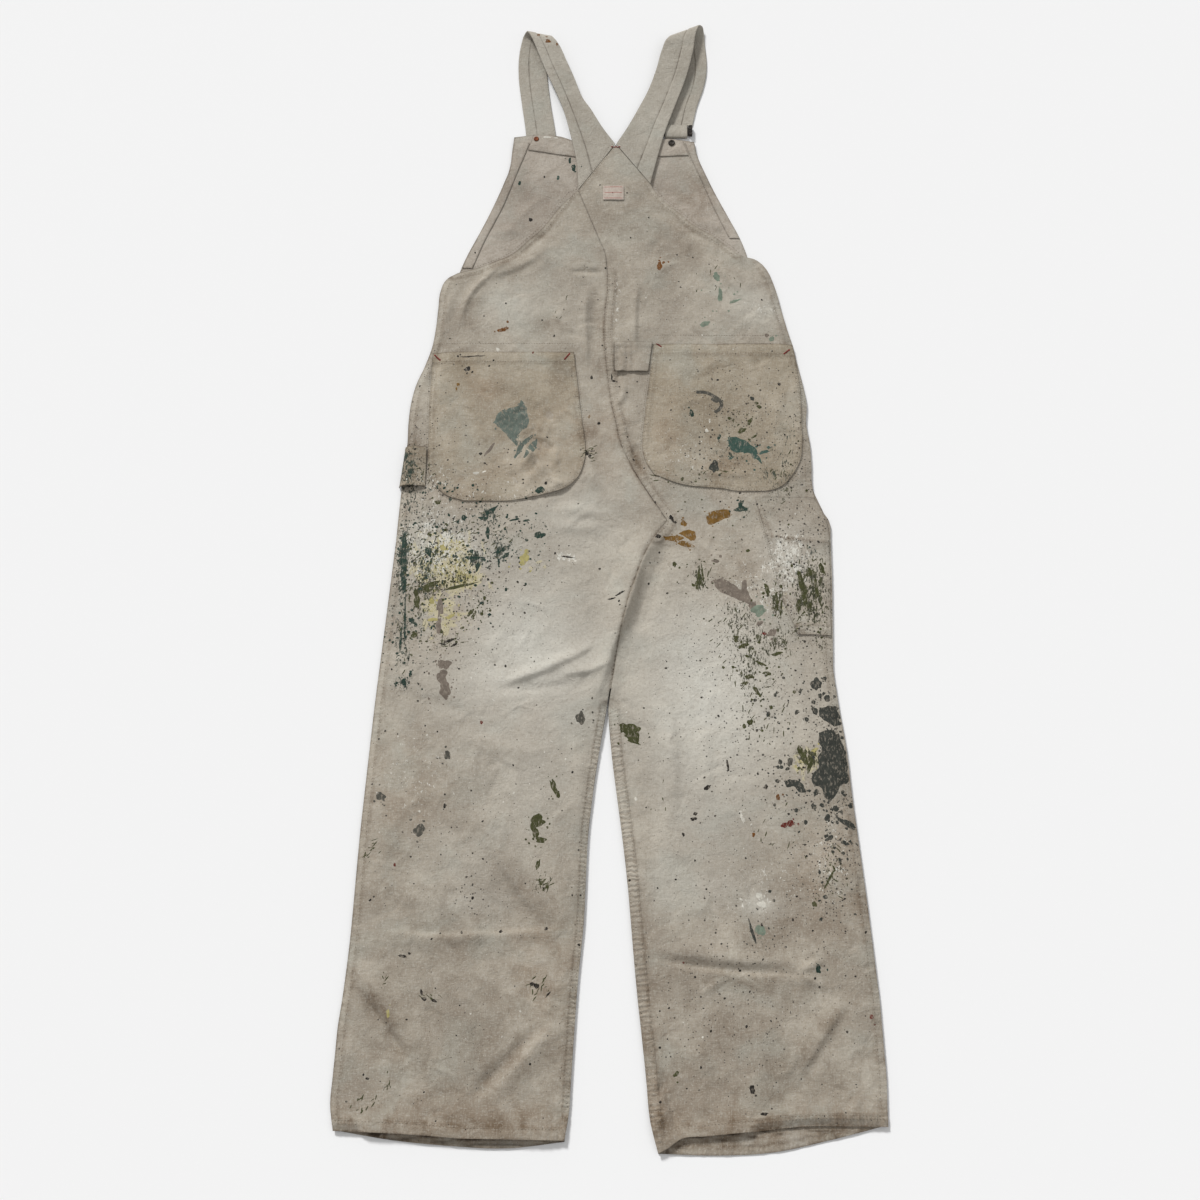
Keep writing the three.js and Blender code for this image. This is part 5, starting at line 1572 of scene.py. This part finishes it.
def blob(x, y, width, height, turn, seed, lift=CLEAR, ragged=0.28):
    """A drop of paint: an uneven disc that follows the cloth."""
    random = np.random.default_rng(seed)
    size = max(width, height)
    count = int(np.clip(size * 2.2, 12, 44))
    a = np.arange(count) * 2 * math.pi / count
    edge = np.ones(count)
    for k in range(2, 9):
        edge += ragged / k**0.8 * random.uniform(0.2, 1) * np.cos(k * a + random.uniform(0, 6.28))
    rings = max(2, math.ceil(size / 4.5))
    c, s = math.cos(math.radians(turn)), math.sin(math.radians(turn))
    points = [(x, y)]
    for ring in range(1, rings + 1):
        u = width / 2 * edge * np.cos(a) * ring / rings
        v = height / 2 * edge * np.sin(a) * ring / rings
        points += list(zip(x + u * c - v * s, y + u * s + v * c))
    placed = []
    for i, (px, py) in enumerate(points):
        z = on_cloth(px, py)
        if z is None:
            return []
        placed.append((px, py, z + (lift if i <= count * (rings - 1) else RIM)))
    faces = [(0, 1 + k, 1 + (k + 1) % count) for k in range(count)]
    for ring in range(rings - 1):
        low, high = 1 + ring * count, 1 + (ring + 1) * count
        faces += [(low + k, high + k, high + (k + 1) % count, low + (k + 1) % count) for k in range(count)]
    return [(placed, faces)]


def small_drop(x, y, width, height, turn, seed):
    """A thin and nearly round drop of paint."""
    return blob(x, y, width, height, turn, seed, THIN, 0.2)


def splash(x, y, width, height, turn, seed):
    """A drop of paint, with a few small ones thrown off by a larger one."""
    random = np.random.default_rng(seed + 5000)
    parts = blob(x, y, width, height, turn, seed, ragged=0.34)
    for _ in range(int(min(7, max(0, (width + height - 9) / 3)))):
        away, around = random.uniform(0.6, 1.15) * max(width, height), random.uniform(0, 6.28)
        size = random.uniform(0.8, 2.6)
        parts += small_drop(x + away * math.cos(around), y + away * math.sin(around), size, size * 1.3,
                            math.degrees(around), int(random.integers(9999)))
    return parts


def patch(outline, seed, spacing=2.5):
    """A larger paint mark with its own outline, ragged, with small drops round it."""
    random = np.random.default_rng(seed)
    rim = smooth_line(np.vstack([outline, outline[:1]]).astype(float), 1.3)[:-1]
    run = np.arange(len(rim))
    along = np.roll(rim, -1, axis=0) - np.roll(rim, 1, axis=0)
    along /= np.linalg.norm(along, axis=1)[:, None] + 1e-9
    rough = 0.7 * ripples(run, run * 0, 2.6, seed) + 0.5 * ripples(run, run * 0, 9, seed + 1)
    rim = rim + rough[:, None] * np.column_stack([along[:, 1], -along[:, 0]])
    flat, faces = triangulate(rim, spacing)
    heights = [on_cloth(px, py) for px, py in flat]
    lifts = np.where(np.arange(len(flat)) < len(rim), RIM, CLEAR)
    points = [(px, py, (z or 0) + lift) for (px, py), z, lift in zip(flat, heights, lifts)]
    faces = [face for face in faces if all(heights[k] is not None for k in face)]
    parts = [(points, faces)]
    for i, (px, py) in enumerate(rim[::9] + random.normal(0, 3.2, rim[::9].shape)):
        size = random.uniform(0.8, 2.4)
        long, turn = size * random.uniform(0.8, 1.8), random.uniform(0, 180)
        parts += small_drop(px, py, size, long, turn, seed + i)
    return parts


def scratches(seed, area):
    """Short thin strokes of dry paint over an area, mostly one way."""
    x, y, width, height, count, turn = area
    random = np.random.default_rng(seed)
    parts = []
    for i in range(count):
        px, py = x + width * random.normal(0, 0.3), y + height * random.normal(0, 0.3)
        parts += blob(px, py, random.uniform(2, 9), random.uniform(0.7, 1.5), turn + random.normal(0, 22),
                      seed + i, THIN, 0.3)
    return parts


def spatter(seed, count, low, high, sizes, mark_name):
    """Scattered small drops in a box, more of them where a soft mark is strong."""
    random = np.random.default_rng(seed)
    places = random.uniform(low, high, (count, 2))
    keep = random.uniform(0, 1, count) < field(mark_name, places[:, 0], places[:, 1])
    drops = []
    for i, (px, py) in enumerate(places[keep]):
        size = sizes[0] + (sizes[1] - sizes[0]) * random.uniform() ** 3
        long, turn = size * random.uniform(0.7, 1.5), random.uniform(0, 180)
        drops += small_drop(px, py, size, long, turn, seed + i)
    return drops


def marks_of(number, name):
    """All the marks of one paint: placed drops, outlined marks, strokes and scattered drops."""
    parts = []
    for i, drop in enumerate(SPLASHES.get(name, [])):
        parts += splash(*drop, 100 * number + i)
    for i, outline in enumerate(PATCHES.get(name, [])):
        parts += patch(outline, 50 * number + i)
    if name == "grey":
        for i, (x, y) in enumerate(smooth_line(GREY_WORM, 1.8)):
            parts += blob(x, y, WORM_WIDTH, WORM_WIDTH, 0, 900 + i, CLEAR + 0.004 * i, 0.1)
    if name == "olive":
        for i, area in enumerate(SCRATCHES):
            parts += scratches(300 + 97 * i, area)
    for scattered in SPATTERS.get(name, []):
        parts += spatter(*scattered)
    return parts


for number, name in enumerate(PAINT_COLOURS):
    lay(f"paint_{name}", marks_of(number, name), paint_film(f"paint_{name}", PAINT_COLOURS[name]))


def bar(name, ends, material, width=2.2, height=0.7):
    """Short bars of close stitches."""
    parts = []
    for (x0, y0), (x1, y1) in ends:
        count = max(3, round(math.hypot(x1 - x0, y1 - y0) / 0.8))
        for t in (np.arange(count) + 0.5) / count:
            x, y = x0 + (x1 - x0) * t, y0 + (y1 - y0) * t
            parts += blob(x, y, 0.95, width, math.degrees(math.atan2(y1 - y0, x1 - x0)), 5, height, 0.05)
    lay(name, parts, material)


POCKET_TACKS = [((-216, 226), (-208, 218)), ((-54, 218), (-47, 227)), ((60, 241), (67, 236)),
                ((219, 226), (227, 233))]
YOKE_TACK = ((5, 531), (17, 531))
bar("bar_tacks", POCKET_TACKS + [YOKE_TACK], bar_tack)
LABEL_MARGIN = 2.2
LABEL_LOW, LABEL_HIGH = LABEL_OUTLINE.min(0) + LABEL_MARGIN, LABEL_OUTLINE.max(0) - LABEL_MARGIN
rules = [((LABEL_LOW[0], y), (LABEL_HIGH[0], y)) for y in np.linspace(LABEL_LOW[1], LABEL_HIGH[1], 3)]
bar("label_rules", rules, red_rule, 0.8, 0.08)

# ---------- the cut of each sheet ----------


def outline_area(outline):
    """The area inside an outline in millimetres, in square metres."""
    x, y = outline[:, 0], outline[:, 1]
    return abs((x * np.roll(y, -1) - y * np.roll(x, -1)).sum()) / 2 * MM**2


def cut(width, length, area):
    """Takes the rectangle that a laid sheet was cut from, in metres, and the area of its cut, and keeps
    neither.
    """
    area = min(area, width * length)


cut(0.37, 1.18, outline_area(LEFT_OUTLINE))
cut(0.34, 1.27, outline_area(RIGHT_OUTLINE))
for side in ("left", "right"):
    cut(0.30, 1.03, outline_area(node_outline(f"front_{side}")))
cut(0.38, 0.25, outline_area(BIB_OUTLINE))
cut(0.018, 0.205, outline_area(FACING_LEFT))
cut(0.018, 0.165, outline_area(FACING_RIGHT))
cut(0.21, 0.036, outline_area(FACING_TOP))
cut(0.195, 0.202, outline_area(node_outline("pocket_left")))
cut(0.197, 0.201, outline_area(node_outline("pocket_right")))
cut(0.09, 0.18, outline_area(RULE_OUTLINE))
cut(0.048, 0.042, outline_area(TAB_OUTLINE))
cut(0.027, 0.021, outline_area(LABEL_OUTLINE))
# The pieces that leave the surface: their areas are those of their cloth, by length and width.
cut(0.045, 0.46, 0.018)
cut(0.045, 0.40, 0.016)
cut(0.029, 0.042, 0.0012)
cut(0.052, 0.050, 0.0026)

# ---------- floor, light and camera, in metres ----------
FLOOR_REACH, FLOOR_HEIGHT = 6.0, -0.0005
WORLD_LIGHT = 0.42
CAMERA_LENS, CAMERA_SENSOR = 51.1, 36.0  # these two in millimetres
CAMERA_TARGET = Vector((-0.0096, -0.0968, 0.0))
CAMERA_PLACE = CAMERA_TARGET + Vector((0.0, -0.690, 1.896))  # over the hems, looking down at the seat


def stage_floor():
    """A plain pale floor just under the part."""
    mesh = bpy.data.meshes.new("floor")
    signs = ((-1, -1), (1, -1), (1, 1), (-1, 1))
    corners = [(FLOOR_REACH * right, FLOOR_REACH * up, FLOOR_HEIGHT) for right, up in signs]
    mesh.from_pydata(corners, [], [(0, 1, 2, 3)])
    material, _, shader = new_material("floor", 0.9)
    shader.inputs["Base Color"].default_value = rgb(237, 237, 237)
    shader.inputs["Specular IOR Level"].default_value = 0.1
    mesh.materials.append(material)
    floor = bpy.data.objects.new("floor", mesh)
    bpy.context.scene.collection.objects.link(floor)


def soft_sun(name, azimuth, elevation, strength, softness):
    """A distant lamp, seen from the part at that azimuth (from +X) and elevation in degrees."""
    light = bpy.data.lights.new(name, "SUN")
    light.energy, light.angle = strength, math.radians(softness)
    lamp = bpy.data.objects.new(name, light)
    a, e = math.radians(azimuth), math.radians(elevation)
    towards = Vector((math.cos(a) * math.cos(e), math.sin(a) * math.cos(e), math.sin(e)))
    lamp.rotation_euler = towards.to_track_quat("Z", "Y").to_euler()
    bpy.context.scene.collection.objects.link(lamp)


def light_and_camera():
    """A pale studio: soft light from beyond the straps, and the camera at the photo's angle."""
    scene = bpy.context.scene
    scene.view_settings.view_transform = "Standard"
    world = bpy.data.worlds.new("studio")
    world.use_nodes = True
    background = world.node_tree.nodes["Background"]
    background.inputs["Color"].default_value = (1, 1, 1, 1)
    background.inputs["Strength"].default_value = WORLD_LIGHT
    scene.world = world
    soft_sun("key", 118, 34, 3.05, 12)
    soft_sun("fill", -30, 60, 0.35, 60)
    camera_data = bpy.data.cameras.new("camera")
    camera_data.lens, camera_data.sensor_width = CAMERA_LENS, CAMERA_SENSOR
    camera = bpy.data.objects.new("camera", camera_data)
    camera.location = CAMERA_PLACE
    camera.rotation_euler = (CAMERA_TARGET - camera.location).to_track_quat("-Z", "Y").to_euler()
    scene.collection.objects.link(camera)
    scene.camera = camera


stage_floor()
light_and_camera()
